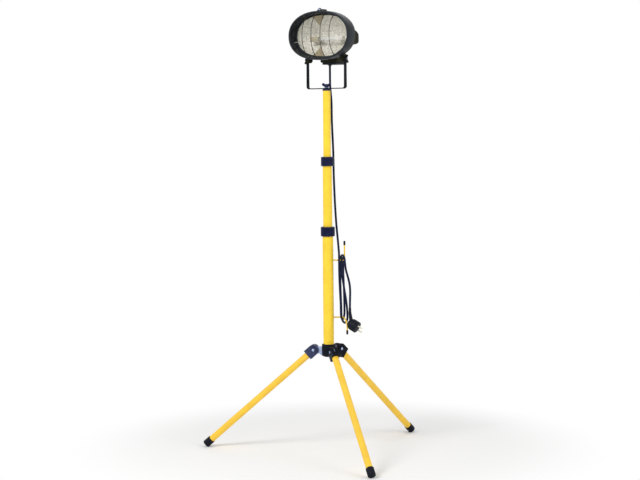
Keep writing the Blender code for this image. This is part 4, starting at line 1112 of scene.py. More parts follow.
# ---------------------------------------------------------------- mast
@dataclass
class Mast:
    """The three telescoping tubes with their collars, bushes, clamp rings and end plugs.

    Attributes:
        radii: Of the lower, middle and upper tube.
        spans: Bottom and top of each tube.
        wall: Of the tubes.
        collar_wall: A collar's wall over its tube.
        collar_heights: Of the lower and upper collar.
        skirt: A collar's length over the outer tube.
        flutes: Grooves round a collar.
        flute_depth: Of the grooves.
        step: A collar's closed end, over the inner tube.
        stud_radius: Of the swivel stud.
        stud_top: Height of its top.
        stud_flange: Radius of its head inside the end plug.
        thread: Pitch of its thread.
        threaded: Length of the thread.
        insert: How far an end plug reaches into its tube.
    """

    radii: tuple[float, float, float] = (0.0175, 0.015, 0.0125)
    spans: tuple[tuple[float, float], ...] = (
        (0.318188, 0.727688), (0.556, 0.956), (0.7637, 1.1817))
    wall: float = 0.0012
    collar_wall: float = 0.0055
    collar_heights: tuple[float, float] = (0.031, 0.030)
    skirt: float = 0.018
    flutes: int = 18
    flute_depth: float = 0.0013
    step: float = 0.004
    stud_radius: float = 0.0040
    stud_top: float = 1.2036
    stud_flange: float = 0.0070
    thread: float = 0.0010
    threaded: float = 0.011
    insert: float = 0.020

    def tubes(self) -> None:
        """The painted tubes, their ends broken."""
        bodies = ("root", "middle_mast", "upper_mast")
        names = ("lower_tube", "middle_tube", "upper_tube")
        for name, body, r, (low, top) in zip(names, bodies, self.radii, self.spans):
            section = Shape.sleeve(r, r - self.wall, low, top)
            tube = Shape.turned("mast_" + name, section, 72, ring=True)
            settle(tube, MAST_PAINT, body, name, matrix=Shape.axis())

    def collars(self) -> None:
        """The fluted collars that turn to clamp the tube inside them."""
        for k, (name, body) in enumerate((("lower_collar", "lower_lock"),
                                          ("upper_collar", "upper_lock"))):
            tube, inner = self.radii[k] + FIT, self.radii[k + 1] + FIT
            outer = self.radii[k] + self.collar_wall
            low = self.spans[k][1] - self.skirt
            top = low + self.collar_heights[k]
            section = [
                (outer - 0.0022, top), (outer - 0.0010, top - 0.0004),
                (outer - 0.0003, top - 0.0014), (outer, top - 0.0035),
                (outer, top - 0.0045), (outer, top - 0.0055), (outer, low + 0.0048),
                (outer, low + 0.0040), (outer, low + 0.0012), (outer - 0.0004, low + 0.0003),
                (outer - 0.0012, low), (tube, low), (tube, top - self.step),
                (inner, top - self.step), (inner, top)]
            collar = Shape.turned(
                "twist_" + name, section, self.flutes * 10, ring=True,
                wave=(self.flutes, self.flute_depth, low + 0.0044, top - 0.0049))
            settle(collar, NAVY_PLASTIC, body, name, matrix=Shape.axis())

    def inner_pieces(self) -> None:
        """The bushes and clamp rings, seen where a tube draws out."""
        rows = (
            ("middle_bush", "middle_mast", 0.016, 0.0153, 0.556, 0.576),
            ("upper_bush", "upper_mast", 0.0135, 0.0128, 0.7637, 0.7837),
            ("lower_clamp_ring", "root", 0.0175, 0.0153, 0.727988, 0.734988),
            ("upper_clamp_ring", "middle_mast", 0.015, 0.0128, 0.9563, 0.9633))
        for name, body, outer, inner, low, top in rows:
            section = Shape.sleeve(outer, inner, low, top)
            settle(Shape.turned("slide_" + name, section, 48, ring=True), BLACK_PLASTIC, body,
                   name, matrix=Shape.axis())

    def ends(self) -> None:
        """The plugs in the mast's two ends."""
        low = self.spans[0][0]
        outer = self.radii[0]
        inner = outer - self.wall - FIT
        plug = Shape.turned("mast_foot_plug", [
            (0, low + self.insert), (inner - 0.0006, low + self.insert),
            (inner, low + self.insert - 0.0006), (inner, low - FIT), (outer, low - FIT),
            (outer, low - 0.0023), (outer - 0.0010, low - 0.0033), (0, low - 0.0033)], 48)
        settle(plug, BLACK_PLASTIC, "root", "lower_end_plug", matrix=Shape.axis())
        top = self.spans[2][1] + FIT
        outer = self.radii[2]
        inner, bore = outer - self.wall - FIT, self.stud_radius + FIT
        deep = top - self.insert - FIT
        cap = Shape.turned("mast_head_plug", [
            (outer, top + 0.005), (outer + 0.0010, top + 0.0042), (outer + 0.0010, top + 0.0006),
            (outer + 0.0006, top), (inner, top), (inner, deep), (bore, deep),
            (bore, top + 0.005)], 48, ring=True)
        settle(cap, NAVY_PLASTIC, "upper_mast", "upper_end_plug", matrix=Shape.axis())
        self.stud(deep - FIT)

    def stud(self, head: float) -> None:
        """The threaded swivel stud, its head under the upper end plug.

        Args:
            head: Height of the top of its head.
        """
        r, top, pitch = self.stud_radius, self.stud_top, self.thread
        section = [(0, top), (r - 0.0006, top), (r, top - 0.0006)]
        z = top - 0.0006
        while z > top - self.threaded:
            section += [(r, z - pitch * 0.2), (r - pitch * 0.3, z - pitch / 2),
                        (r, z - pitch * 0.8)]
            z -= pitch
        section += [(r, head), (self.stud_flange, head), (self.stud_flange, head - 0.004),
                    (0, head - 0.004)]
        settle(Shape.turned("swivel_bolt", section, 32), DARK_STEEL, "upper_mast", "swivel_stud",
               matrix=Shape.axis())

    def build(self) -> None:
        """Builds and dresses the whole mast."""
        self.tubes()
        self.collars()
        self.inner_pieces()
        self.ends()


# ---------------------------------------------------------------- hub and legs
@dataclass
class Tripod:
    """The hub with its lugs and rivet, and the three folding legs.

    Attributes:
        first: Degrees from +X to the first leg.
        slope: Degrees below level.
        length: Pivot to foot end.
        pivot_radius: Pivots from the mast's axis.
        pivot_z: Height of the pivots.
        hub_radius: Of the hub.
        hub_top: Height of its top.
        hub_height: Of the hub.
        hub_bore: Radius of its bore.
        rivet: Degrees from +X to the hub's rivet.
        leg_radius: Of the leg tubes.
        leg_wall: Of the leg tubes.
        leg_start: Leg tube's upper end, from the pivot.
        pin_reach: From a leg's middle to the faces that its pin's heads lie on.
        foot_radius: Of the rubber feet.
        foot_length: Of the rubber feet.
        foot_sole: Thickness under the leg tube.
    """

    first: float = 82.3
    slope: float = 41.2
    length: float = 0.497
    pivot_radius: float = 0.0504
    pivot_z: float = 0.335688
    hub_radius: float = 0.0225
    hub_top: float = 0.356188
    hub_height: float = 0.039
    hub_bore: float = 0.0178
    rivet: float = -52.2
    leg_radius: float = 0.011
    leg_wall: float = 0.0012
    leg_start: float = 0.0143
    pin_reach: float = 0.0133
    foot_radius: float = 0.01305
    foot_length: float = 0.028
    foot_sole: float = 0.004

    def hub(self) -> None:
        """The moulded hub and its rivet."""
        r, top = self.hub_radius, self.hub_top
        low, bore = top - self.hub_height, self.hub_bore
        section = [
            (r - 0.0022, top), (r - 0.0010, top - 0.0005), (r - 0.0003, top - 0.0016),
            (r, top - 0.0034), (r, low + 0.0020), (r - 0.0006, low + 0.0006),
            (r - 0.0018, low), (bore, low), (bore, top - 0.0008), (bore + 0.0008, top)]
        hub = Shape.turned("hub_ring", section, 96, ring=True)
        settle(hub, BLACK_PLASTIC, "root", "hub_collar", matrix=Shape.axis())
        a = math.radians(self.rivet)
        aim = (math.cos(a), math.sin(a), 0)
        seat = r - 0.0004
        head = Shape.turned("hub_rivet_head", [
            (0, 0.0018), (0.0012, 0.00172), (0.0023, 0.0014), (0.0031, 0.0008),
            (0.0034, 0.0002), (0.0033, 0.0), (0.0020, 0.0), (0.0020, -0.004), (0, -0.004)], 32)
        settle(head, ZINC, "root", "hub_rivet", matrix=Shape.along(
            aim, (MAST_X + aim[0] * seat, MAST_Y + aim[1] * seat, self.pivot_z - 0.004)))
        for k in (1, 2, 3):
            lug = Shape.softened(f"hub_lug_{k}", f"leg_lug_{k}", 0.0007, 3)
            settle(lug, ZINC, "root", f"hub_lug_{k}")

    def leg(self, k: int) -> None:
        """One leg with its fork, pin, tube and foot.

        Args:
            k: Its number, from 1.
        """
        body = f"leg_{k}"
        azimuth = math.radians(self.first + (k - 1) * 120)
        frame = (Shape.axis(self.pivot_z) @ Matrix.Rotation(azimuth, 4, "Z")
                 @ Matrix.Translation((self.pivot_radius, 0, 0))
                 @ Matrix.Rotation(math.radians(self.slope), 4, "Y"))
        fork = Shape.softened(f"leg_fork_{k}", f"leg_joint_{k}", 0.0014, 4)
        # Leg 2's fork takes the lighter copy of the plastic: painted light, and painted highlights
        # on its edges.
        settle(fork, LIT_FORK_PLASTIC if k == 2 else BLACK_PLASTIC, body, f"leg_fork_{k}")
        reach = self.pin_reach
        dome = [(0, 0.0016), (0.0016, 0.0015), (0.0031, 0.0011), (0.0042, 0.0005), (0.0047, 0.0)]
        section = [(r, reach + h) for r, h in dome] + [(0.003, reach), (0.003, -reach)]
        section += [(r, -reach - h) for r, h in reversed(dome)]
        pin = Shape.turned(f"leg_rivet_{k}", section, 32)
        settle(pin, ZINC, body, f"leg_pin_{k}", matrix=frame @ Shape.along((0, 1, 0)))

        lengthwise = frame @ Shape.along((1, 0, 0))
        r, low, top = self.leg_radius, self.leg_start, self.length - self.foot_sole - FIT
        tube = Shape.turned(f"leg_pole_{k}", [
            (r - EDGE, top), (r, top - EDGE), (r, low), (r - self.leg_wall, low),
            (r - self.leg_wall, top)], 56, ring=True)
        settle(tube, LEG_PAINT, body, f"leg_tube_{k}", matrix=lengthwise)
        self.foot(k, body, lengthwise)

    def foot(self, k: int, body: str, lengthwise: Matrix) -> None:
        """One rubber foot, flat where it stands.

        Args:
            k: Its leg's number.
            body: The body that carries it.
            lengthwise: The leg's matrix, with +Z along it.
        """
        r, end = self.foot_radius, self.length
        low = end - self.foot_length
        inner = self.leg_radius + FIT
        section = [(0, end), (r - 0.0024, end), (r - 0.0009, end - 0.0005),
                   (r - 0.0002, end - 0.0014), (r, end - 0.0026), (r, low + 0.0034),
                   (r, low + 0.0026), (r - 0.0002, low + 0.0006), (r - 0.0007, low),
                   (inner, low), (inner, end - self.foot_sole), (0, end - self.foot_sole)]
        foot = Shape.turned(f"rubber_foot_{k}", section, 56)
        foot.data.transform(lengthwise)
        spot = lengthwise @ Vector((0, 0, end))
        floor = Shape.block("floor_cut", (spot.x - 0.06, spot.y - 0.06, -0.05),
                            (spot.x + 0.06, spot.y + 0.06, 0.0), 0.0001, 1)
        Shape.cut(foot, [floor])
        settle(foot, RUBBER, body, f"leg_foot_{k}")

    def build(self) -> None:
        """Builds and dresses the hub and the legs."""
        self.hub()
        for k in (1, 2, 3):
            self.leg(k)


# ---------------------------------------------------------------- yoke and wing nuts
@dataclass
class WingNut:
    """A moulded wing nut whose seat is at z = 0 and whose wings lie along X.

    Attributes:
        bore: Radius of its hole.
        boss: Radius of its boss.
        height: Of its boss.
        span: Centre to wing tip.
        tip: Radius of a wing tip.
        lift: Height of a tip's centre.
        thickness: Of the wings.
    """

    bore: float
    boss: float = 0.0068
    height: float = 0.010
    span: float = 0.015
    tip: float = 0.0048
    lift: float = 0.0095
    thickness: float = 0.0035

    def build(self, name: str, finish: Finish, body: str, node: str, matrix: Matrix) -> None:
        """Builds and dresses the nut.

        Args:
            name: The piece's name.
            finish: What it is made of.
            body: The body that carries it.
            node: The frame's node that it replaces.
            matrix: Its place.
        """
        nut = Shape.turned(name, [
            (0, self.height), (self.boss - 0.0018, self.height),
            (self.boss - 0.0008, self.height - 0.0004), (self.boss - 0.0002, self.height - 0.0013),
            (self.boss, self.height - 0.0030), (self.boss, 0.0010), (self.boss - 0.0005, 0.0),
            (0, 0)], 48)
        tip, waist = self.span - self.tip, self.boss * 0.8
        outline = [(-waist, 0.0015), (waist, 0.0015)]
        outline += Shape.arc(tip, self.lift, self.tip, -55, 130, 20)
        outline += [(0.0030, self.lift - 0.0010), (-0.0030, self.lift - 0.0010)]
        outline += Shape.arc(-tip, self.lift, self.tip, 50, 235, 20)
        wings = Shape.plate("wings", outline, self.thickness, 0.0011)
        wings.data.transform(Matrix.Rotation(math.pi / 2, 4, "X"))
        Shape.cut(nut, [wings], "UNION")
        Shape.cut(nut, [Shape.drill(self.bore, -0.01, 0.03)])
        settle(nut, finish, body, node, matrix=matrix)


@dataclass
class Yoke:
    """The bent steel yoke with its washer, bolts and wing nuts.

    Attributes:
        base: Height of its underside.
        half_width: To the outside of an arm.
        strap: Thickness.
        breadth: Of the strap.
        bend: Outer bend radius.
        rise: Tilt bolts above the underside.
        end: Arm above the tilt bolts.
        stud_hole: Radius of the hole for the swivel stud.
        bolt_hole: Radius of the holes for the tilt bolts.
        washer: Thickness of the swivel's washer.
        ear: Thickness of the housing's ears, which the tilt bolts pass through.
        bolt: Radius of the tilt bolts.
        bolt_end: How far they reach beyond the arms.
        bolt_head: Radius of their heads.
        wing_turn: Degrees that the swivel's wing nut is turned.
        tilt_turn: Degrees that the tilt wing nuts are turned.
    """

    base: float = 1.1873
    half_width: float = 0.0751
    strap: float = 0.003
    breadth: float = 0.013
    bend: float = 0.009
    rise: float = 0.095
    end: float = 0.009
    stud_hole: float = 0.0043
    bolt_hole: float = 0.0033
    washer: float = 0.0012
    ear: float = 0.011
    bolt: float = 0.0030
    bolt_end: float = 0.0074
    bolt_head: float = 0.0055
    wing_turn: float = 34.8
    tilt_turn: float = 8.0

    def strap_piece(self) -> None:
        """The strap with its holes, its edges rounded."""
        top, w, t = self.rise + self.end, self.half_width, self.strap
        cx, inner = w - self.bend, self.bend - t
        outline = [(w, top)] + Shape.arc(cx, self.bend, self.bend, 0, -90, 14)
        outline += Shape.arc(-cx, self.bend, self.bend, -90, -180, 14) + [(-w, top), (t - w, top)]
        outline += Shape.arc(-cx, self.bend, inner, 180, 270, 14)
        outline += Shape.arc(cx, self.bend, inner, -90, 0, 14) + [(w - t, top)]
        strap = Shape.plate("yoke_strap", outline, self.breadth, 0.0007)
        strap.data.transform(Matrix.Rotation(math.pi / 2, 4, "X"))
        tools = []
        for direction, at, radius in (
                ((0, 0, 1), (0, 0, -0.02), self.stud_hole),
                ((1, 0, 0), (-0.2, 0, self.rise), self.bolt_hole)):
            hole = Shape.drill(radius, 0, 0.4)
            if direction[2]:
                hole.data.transform(Matrix.Diagonal((1, 1, 0.08, 1)))
            hole.data.transform(Shape.along(direction, at))
            tools.append(hole)
        Shape.cut(strap, tools)
        settle(strap, YOKE_PAINT, "yoke", "yoke", matrix=Shape.axis(self.base))
        seat = self.base + t + FIT
        top = seat + self.washer
        washer = Shape.turned("swivel_ring", [
            (0.0081, top), (0.0085, top - 0.0003), (0.0085, seat + 0.0003), (0.0081, seat),
            (self.stud_hole, seat), (self.stud_hole, top)], 48, ring=True)
        settle(washer, ZINC, "yoke", "swivel_washer", matrix=Shape.axis())

    def fasteners(self) -> None:
        """The tilt bolts and the three wing nuts."""
        seat = self.base + self.strap + self.washer + 2 * FIT
        turn = Matrix.Rotation(math.radians(self.wing_turn), 4, "Z")
        WingNut(bore=self.stud_hole).build("swivel_knob", NAVY_PLASTIC, "swivel_nut",
                                           "swivel_wing_nut", Shape.axis(seat) @ turn)
        knob = WingNut(bore=self.bolt_hole, boss=0.0062, height=0.0062, span=0.0135, tip=0.0042,
                       lift=0.0056, thickness=0.0032)
        z = self.base + self.rise
        inner = self.half_width - self.strap - FIT - self.ear - FIT
        outer = self.half_width + FIT + self.bolt_end
        for side, label in ((-1, "left"), (1, "right")):
            section = [(0, outer), (self.bolt - 0.0005, outer), (self.bolt, outer - 0.0005),
                       (self.bolt, inner), (self.bolt_head, inner),
                       (self.bolt_head, inner - 0.0022), (self.bolt_head - 0.0006, inner - 0.003),
                       (0, inner - 0.003)]
            bolt = Shape.turned(f"tilt_screw_{label}", section, 32)
            settle(bolt, ZINC, "head", f"tilt_bolt_{label}",
                   matrix=Shape.along((side, 0, 0), (MAST_X, MAST_Y, z)))
            # The head and the shank inside the ear take the yoke's near-black finish, and the end
            # beyond the nut stays zinc.
            bolt.data.materials.append(YOKE_PAINT.material(f"painted_{label}"))
            for face in bolt.data.polygons:
                if abs(face.center.x - MAST_X) < inner + FIT:
                    face.material_index = 1
            place = (Shape.axis(z, x=side * (self.half_width + FIT))
                     @ Matrix.Rotation(side * math.pi / 2, 4, "Y")
                     @ Matrix.Rotation(math.radians(self.tilt_turn), 4, "Z"))
            knob.build(f"tilt_knob_{label}", OLIVE_PAINT, f"tilt_nut_{label}",
                       f"tilt_wing_nut_{label}", place)

    def build(self) -> None:
        """Builds and dresses the yoke and its fasteners."""
        self.strap_piece()
        self.fasteners()


# ---------------------------------------------------------------- hooks and plug
@dataclass
class CordHooks:
    """The two bent wire hooks that the cord is wound on, with their rubber tips.

    Attributes:
        radius: Of the wire.
        cap_radius: Of the tips.
        cap_length: Of the tips.
        spacing: Between the rings of a hook's mesh.
        upper: Route of the upper hook.
        lower: Route of the lower hook.
    """

    radius: float = 0.0024
    cap_radius: float = 0.0034
    cap_length: float = 0.0135
    spacing: float = 0.0022
    upper: tuple[Point, ...] = (
        (0.0178, 0, 0.631), (0.030, 0, 0.631), (0.0475, 0, 0.631), (0.0515, 0, 0.6323),
        (0.0534, 0, 0.636), (0.0538, 0, 0.651), (0.0538, 0, 0.693))
    lower: tuple[Point, ...] = (
        (0.0178, 0, 0.444), (0.030, 0, 0.444), (0.0425, 0, 0.444), (0.0490, -0.0080, 0.4435),
        (0.0550, -0.0220, 0.4385), (0.0590, -0.0305, 0.428), (0.0603, -0.0325, 0.414),
        (0.0605, -0.0328, 0.392))

    def build(self, cord: MainsCord) -> None:
        """Builds and dresses both hooks.

        Args:
            cord: The cord wound on them, which knows where they point.
        """
        for label, route in (("upper", self.upper), ("lower", self.lower)):
            path = Shape.smooth([cord.beside(p) for p in route], self.spacing)
            hook = Shape.tube(f"cord_hook_{label}", path, self.radius, 16)
            settle(hook, MAST_PAINT, "root", f"{label}_hook")
            inner = self.radius + FIT
            wall = self.cap_radius - inner
            top, low = wall + FIT, wall - self.cap_length
            cap = Shape.turned(f"cord_hook_tip_{label}", [
                (0, top + 0.0001), (inner * 0.6, top), (inner, top - 0.0004),
                (self.cap_radius, -0.0008), (self.cap_radius, low + 0.0006),
                (self.cap_radius - 0.0004, low), (inner, low), (inner, FIT), (0, FIT)], 32)
            settle(cap, RUBBER, "root", f"{label}_hook_cap",
                   matrix=Shape.along(path[-1] - path[-2], path[-1]))


@dataclass
class Plug:
    """The round rubber plug with its ribbed strain relief and two pins.

    Attributes:
        radius: Of the body.
        length: Of the body.
        pin_radius: Of the pins.
        pin_length: Beyond the body.
        pin_seat: How deep the pins sit in the body.
        spacing: Between the pins.
        relief: Radius of the strain relief at its start, in radii of the cord.
        swell: How much it grows towards the body, in the same measure.
        rib: Radius between its ribs, as a share of that on them.
        rib_spacing: Between the rings of its mesh, four to a rib.
        centre: Outward, square to it, and up.
        aim: Where the pins point, in the same terms.
        spread: How the pins lie beside each other, in the same terms.
    """

    radius: float = 0.019
    length: float = 0.037
    pin_radius: float = 0.0024
    pin_length: float = 0.019
    pin_seat: float = 0.006
    spacing: float = 0.019
    relief: float = 1.15
    swell: float = 0.9
    rib: float = 0.9
    rib_spacing: float = 0.0011
    centre: Point = (0.0795, -0.0440, 0.4235)
    aim: Point = (0.78, -0.42, -0.46)
    spread: Point = (0.40, 0.30, -0.80)

    def build(self, cord: MainsCord) -> list[bpy.types.Object]:
        """Builds and dresses the plug.

        Args:
            cord: The cord that it ends.

        Returns:
            Its pieces.
        """
        origin = Vector(cord.beside((0, 0, 0)))
        aim = (Vector(cord.beside(self.aim)) - origin).normalized()
        centre = Vector(cord.beside(self.centre))
        half, r = self.length / 2, self.radius
        section = [
            (0, half), (r - 0.0022, half), (r - 0.0008, half - 0.0005), (r, half - 0.0020),
            (r, half - 0.0050), (r - 0.0007, half - 0.0058), (r - 0.0007, half - 0.0068),
            (r, half - 0.0076), (r, 0.0), (r - 0.0006, -half * 0.3), (r - 0.0020, -half * 0.5),
            (r - 0.0050, -half * 0.75), (r - 0.0085, -half * 0.93), (r - 0.0120, -half),
            (0, -half)]
        body = Shape.turned("plug_shell", section, 56)
        body.data.transform(Shape.along(aim, centre))
        u, v, z = cord.runs[-1][2], -cord.plug_depth, cord.plug_entry
        thin = cord.diameter / 2
        entry = [(u, v, z - FIT), (u, v, z - 4 * thin),
                 (u + thin / 3, v - thin / 2, z - 6.8 * thin)]
        points = [cord.beside(p) for p in entry] + [tuple(centre - aim * (half / 3))]
        path = Shape.smooth(points, self.rib_spacing)
        radii = []
        for k in range(len(path)):
            t = k / (len(path) - 1)
            rib = self.rib if k % 4 in (2, 3) and 0.1 < t < 0.75 else 1.0
            radii.append(thin * (self.relief + self.swell * t) * rib)
        Shape.cut(body, [Shape.tube("relief", path, radii, 20)], "UNION")
        across = Vector(cord.beside(self.spread)) - origin
        across = (across - aim * across.dot(aim)).normalized()
        sockets: list[bpy.types.Object] = []
        pieces: list[bpy.types.Object] = []
        for k, side in enumerate((-1, 1)):
            base = centre + across * (side * self.spacing / 2)
            start = base + aim * (half - self.pin_seat)
            full, pr = self.pin_seat + self.pin_length, self.pin_radius
            hole = Shape.drill(pr + FIT, -FIT, 0.03, 28)
            hole.data.transform(Shape.along(aim, start))
            sockets.append(hole)
            pin = Shape.turned(f"plug_prong_{k + 1}", [
                (0, full), (pr * 0.45, full - 0.0001), (pr * 0.8, full - 0.0007),
                (pr, full - 0.0018), (pr, 0.0004), (pr - 0.0004, 0), (0, 0)], 32)
            pieces.append(settle(pin, NICKEL, "root", f"plug_pin_{k + 1}",
                                 matrix=Shape.along(aim, start)))
        Shape.cut(body, sockets)
        pieces.append(settle(body, RUBBER, "root", "plug_body"))
        return pieces


# ---------------------------------------------------------------- the lamp head
@dataclass
class LampHead:
    """The oval flood head: hooded frame, glass, guard, housing, reflector and lamp.

    Attributes:
        centre: Height of the oval's centre.
        half_width: Of the oval.
        half_height: Of the oval.
        power: How square the oval is.
        points: Facets round it.
        front: Front edge, in front of the mast's axis when negative.
        back: Back of the front frame.
        rim: Width of the frame's front edge.
        lip: Width of the ledge that holds the glass.
        step: How far the pocket for the glass is let in, and the throat stands out.
        glass_at: Front face of the glass.
        glass_thick: Its thickness.
        gasket: Thickness of its gasket.
        mouth_width: Housing's half width at its front.
        mouth_height: Housing's half height at its front.
        depth: Of the housing.
        back_width: Housing's half width at its back.
        back_height: Housing's half height at its back.
        taper: How late the housing narrows.
        wall: Of the housing.
        tilt: Height of the tilt bolts.
        ear_inner: Inner face of an ear, from the middle.
        ear_outer: Outer face of an ear.
        ear_radius: Of an ear's end.
        tab_set: Tab on top, behind the front edge.
        tab_rise: Its screw, above the frame.
        tab_thick: Its thickness.
        screw_seat: Front of the tab screw's post, behind the tab's middle.
        box_bottom: Height of the terminal box's lid.
        box_half: Half width of the terminal box.
        box_front: Its front, behind the mast's axis.
        box_back: Its back.
        lid_inset: Lid's edge inside the box's.
        lid_thick: Lid's thickness.
        lid_screws: Places of the lid's screws.
        rear_depth: Of the rear cover.
        rear_width: Its half width.
        rear_height: Its half height.
        rear_drop: Its middle below the oval's.
        rear_power: How square it is.
        grooves: How many it has across its top.
        groove_pitch: From one to the next.
        groove_width: Of a groove.
        guard_pitch: Between the upright wires.
        guard_wires: How many there are.
        guard_radius: Of the wires.
        guard_sides: Facets round a wire.
        guard_bow: How far they stand forward at the middle.
        guard_set: Their ends, behind the front edge.
        guard_gap: How far inside the frame's front edge their ends lie.
        cross_drop: Wire across, below the oval's middle.
        cross_back: How far the wire across lies behind the upright ones.
        bowl_front: Reflector's half width and half height at its mouth.
        bowl_back: The same at its back.
        bowl_depth: Its depth.
        bowl_curve: How late it narrows.
        bowl_wall: Its thickness.
        lamp_y: Lamp behind the mast's axis.
        lamp_drop: Lamp below the oval's middle.
        lamp_half: Half its length.
        lamp_neck: Half the length of its wide part.
        lamp_radius: Of its wide part.
        lamp_end: Radius of its ends.
        dart_half: Half width of a dart at the mouth.
        dart_start: Share of the reflector's depth where a dart starts.
        dart_reach: Share of the depth where it ends.
        dart_mouth: A dart's middle at its start, to the lamp's right.
        dart_tip: A dart's tip, in the same terms.
    """

    centre: float = 1.3581
    half_width: float = 0.1175
    half_height: float = 0.0785
    power: float = 2.2
    points: int = 120
    front: float = -0.048
    back: float = -0.0089
    rim: float = 0.0070
    lip: float = 0.0035
    step: float = 0.002
    glass_at: float = -0.014
    glass_thick: float = 0.004
    gasket: float = 0.0016
    mouth_width: float = 0.1155
    mouth_height: float = 0.0765
    depth: float = 0.060
    back_width: float = 0.060
    back_height: float = 0.039
    taper: float = 1.6
    wall: float = 0.003
    tilt: float = 1.2823
    ear_inner: float = 0.0608
    ear_outer: float = 0.0718
    ear_radius: float = 0.0105
    tab_set: float = 0.0135
    tab_rise: float = 0.0035
    tab_thick: float = 0.004
    screw_seat: float = 0.0023
    box_bottom: float = 1.2663
    box_half: float = 0.032
    box_front: float = 0.010
    box_back: float = 0.072
    lid_inset: float = 0.005
    lid_thick: float = 0.006
    lid_screws: tuple[tuple[float, float], ...] = (
        (-0.0215, 0.021), (0.0215, 0.021), (-0.0215, 0.061), (0.0215, 0.061))
    rear_depth: float = 0.060
    rear_width: float = 0.058
    rear_height: float = 0.0265
    rear_drop: float = 0.0016
    rear_power: float = 6.0
    grooves: int = 7
    groove_pitch: float = 0.01667
    groove_width: float = 0.0022
    guard_pitch: float = 0.0352
    guard_wires: int = 4
    guard_radius: float = 0.0013
    guard_sides: int = 10
    guard_bow: float = 0.026
    guard_set: float = 0.014
    guard_gap: float = 0.0023
    cross_drop: float = 0.020
    cross_back: float = 0.0022
    bowl_front: tuple[float, float] = (0.1059, 0.0669)
    bowl_back: tuple[float, float] = (0.062, 0.026)
    bowl_depth: float = 0.043
    bowl_curve: float = 1.5
    bowl_wall: float = 0.0008
    lamp_y: float = 0.006
    lamp_drop: float = 0.009
    lamp_half: float = 0.039
    lamp_neck: float = 0.0275
    lamp_radius: float = 0.0055
    lamp_end: float = 0.0035
    dart_half: float = 0.026
    dart_start: float = 0.03
    dart_reach: float = 0.80
    dart_mouth: float = -0.024
    dart_tip: float = -0.040

    def oval(self, inset: float, y: float, width: float | None = None,
             height: float | None = None, power: float | None = None,
             z: float | None = None) -> list[Point]:
        """A ring of points round the oval, in a plane across the lamp.

        Args:
            inset: How far inside the full size.
            y: Place along the lamp's axis.
            width: Half width, if not the frame's.
            height: Half height, if not the frame's.
            power: How square, if not the frame's.
            z: Height of its centre, if not the frame's.

        Returns:
            The ring.
        """
        w = (width or self.half_width) - inset
        h = (height or self.half_height) - inset
        n = 2 / (power or self.power)
        ring = []
        for k in range(self.points):
            a = 2 * math.pi * k / self.points
            c, s = math.cos(a), math.sin(a)
            ring.append((MAST_X + w * math.copysign(abs(c) ** n, c), MAST_Y + y,
                         (z or self.centre) + h * math.copysign(abs(s) ** n, s)))
        return ring

    def rise(self, x: float, w: float, h: float) -> float:
        """How far an oval reaches up at a place across, or across at a place up.

        Args:
            x: The place.
            w: Half the oval's size along that way.
            h: Half its size along the other.

        Returns:
            The reach.
        """
        return h * (1 - abs(x / w) ** self.power) ** (1 / self.power)

    def frame_ring(self) -> None:
        """The hooded front frame with its tab on top, and the tab's screw."""
        lip_y = self.glass_at - self.gasket
        pocket, throat = self.rim - self.step, self.rim + self.step
        ledge = throat + self.lip
        sections = [
            (0.0016, self.back), (0.0008, self.back - 0.0006), (0.0004, self.back - 0.002),
            (0.0, self.front + 0.012), (0.0, self.front + 0.0065),
            (0.0004, self.front + 0.0030), (0.0013, self.front + 0.0010),
            (0.0030, self.front), (self.rim - 0.0030, self.front),
            (self.rim - 0.0014, self.front + 0.0004), (self.rim - 0.0004, self.front + 0.0014),
            (self.rim, self.front + 0.0030), (throat, lip_y - 0.0028),
            (throat + 0.0005, lip_y - 0.0025), (ledge - 0.0004, lip_y - 0.0025),
            (ledge, lip_y - 0.0021), (ledge, lip_y), (pocket, lip_y), (pocket, self.back)]
        ring = Shape.loft("lamp_frame", [self.oval(d, y) for d, y in sections], closed=True)
        top = self.centre + self.half_height
        hole = top + self.tab_rise
        outline = Shape.arc(0, hole, 0.0055, 20, 160, 14)
        outline += [(-0.0085, hole - 0.0012), (-0.0125, top - 0.0012), (-0.0125, top - 0.004),
                    (0.0125, top - 0.004), (0.0125, top - 0.0012), (0.0085, hole - 0.0012)]
        tab = Shape.plate("tab", outline, self.tab_thick, 0.0006)
        tab_y = self.front + self.tab_set
        tab.data.transform(Shape.axis(y=tab_y) @ Matrix.Rotation(math.pi / 2, 4, "X"))
        Shape.cut(ring, [tab], "UNION")
        settle(ring, HEAD_PAINT, "head", "bezel")
        screw = Shape.turned("tab_pan_screw", [
            (0, 0.0012), (0.0012, 0.00135), (0.0022, 0.0011), (0.0029, 0.0005), (0.0030, 0.0),
            (0.0015, 0.0), (0.0015, -0.009), (0, -0.009)], 28)
        slot = Shape.block("slot", (-0.0025, -0.0004, 0.0006), (0.0025, 0.0004, 0.003), 0.0001, 1)
        Shape.cut(screw, [slot])
        settle(screw, ZINC, "head", "tab_screw",
               matrix=Shape.along((0, -1, 0), (MAST_X, MAST_Y + tab_y - self.screw_seat, hole)))

    def glazing(self) -> None:
        """The glass and its rubber gasket."""
        lip_y = self.glass_at - self.gasket
        seat = self.rim - self.step + FIT
        ledge = self.rim + self.step + self.lip
        rings = [(seat, lip_y + FIT), (ledge, lip_y + FIT), (ledge + 0.0004, lip_y + 0.0008),
                 (ledge, self.glass_at - FIT), (seat, self.glass_at - FIT)]
        settle(Shape.loft("glass_seal", [self.oval(d, y) for d, y in rings], closed=True),
               RUBBER, "head", "glass_gasket")
        far = self.glass_at + self.glass_thick
        panes = [self.oval(seat + 0.0006, self.glass_at), self.oval(seat, self.glass_at + 0.0006),
                 self.oval(seat, far - 0.0006), self.oval(seat + 0.0006, far)]
        settle(Shape.loft("lamp_glass", panes), CLEAR_GLASS, "head", "front_glass")

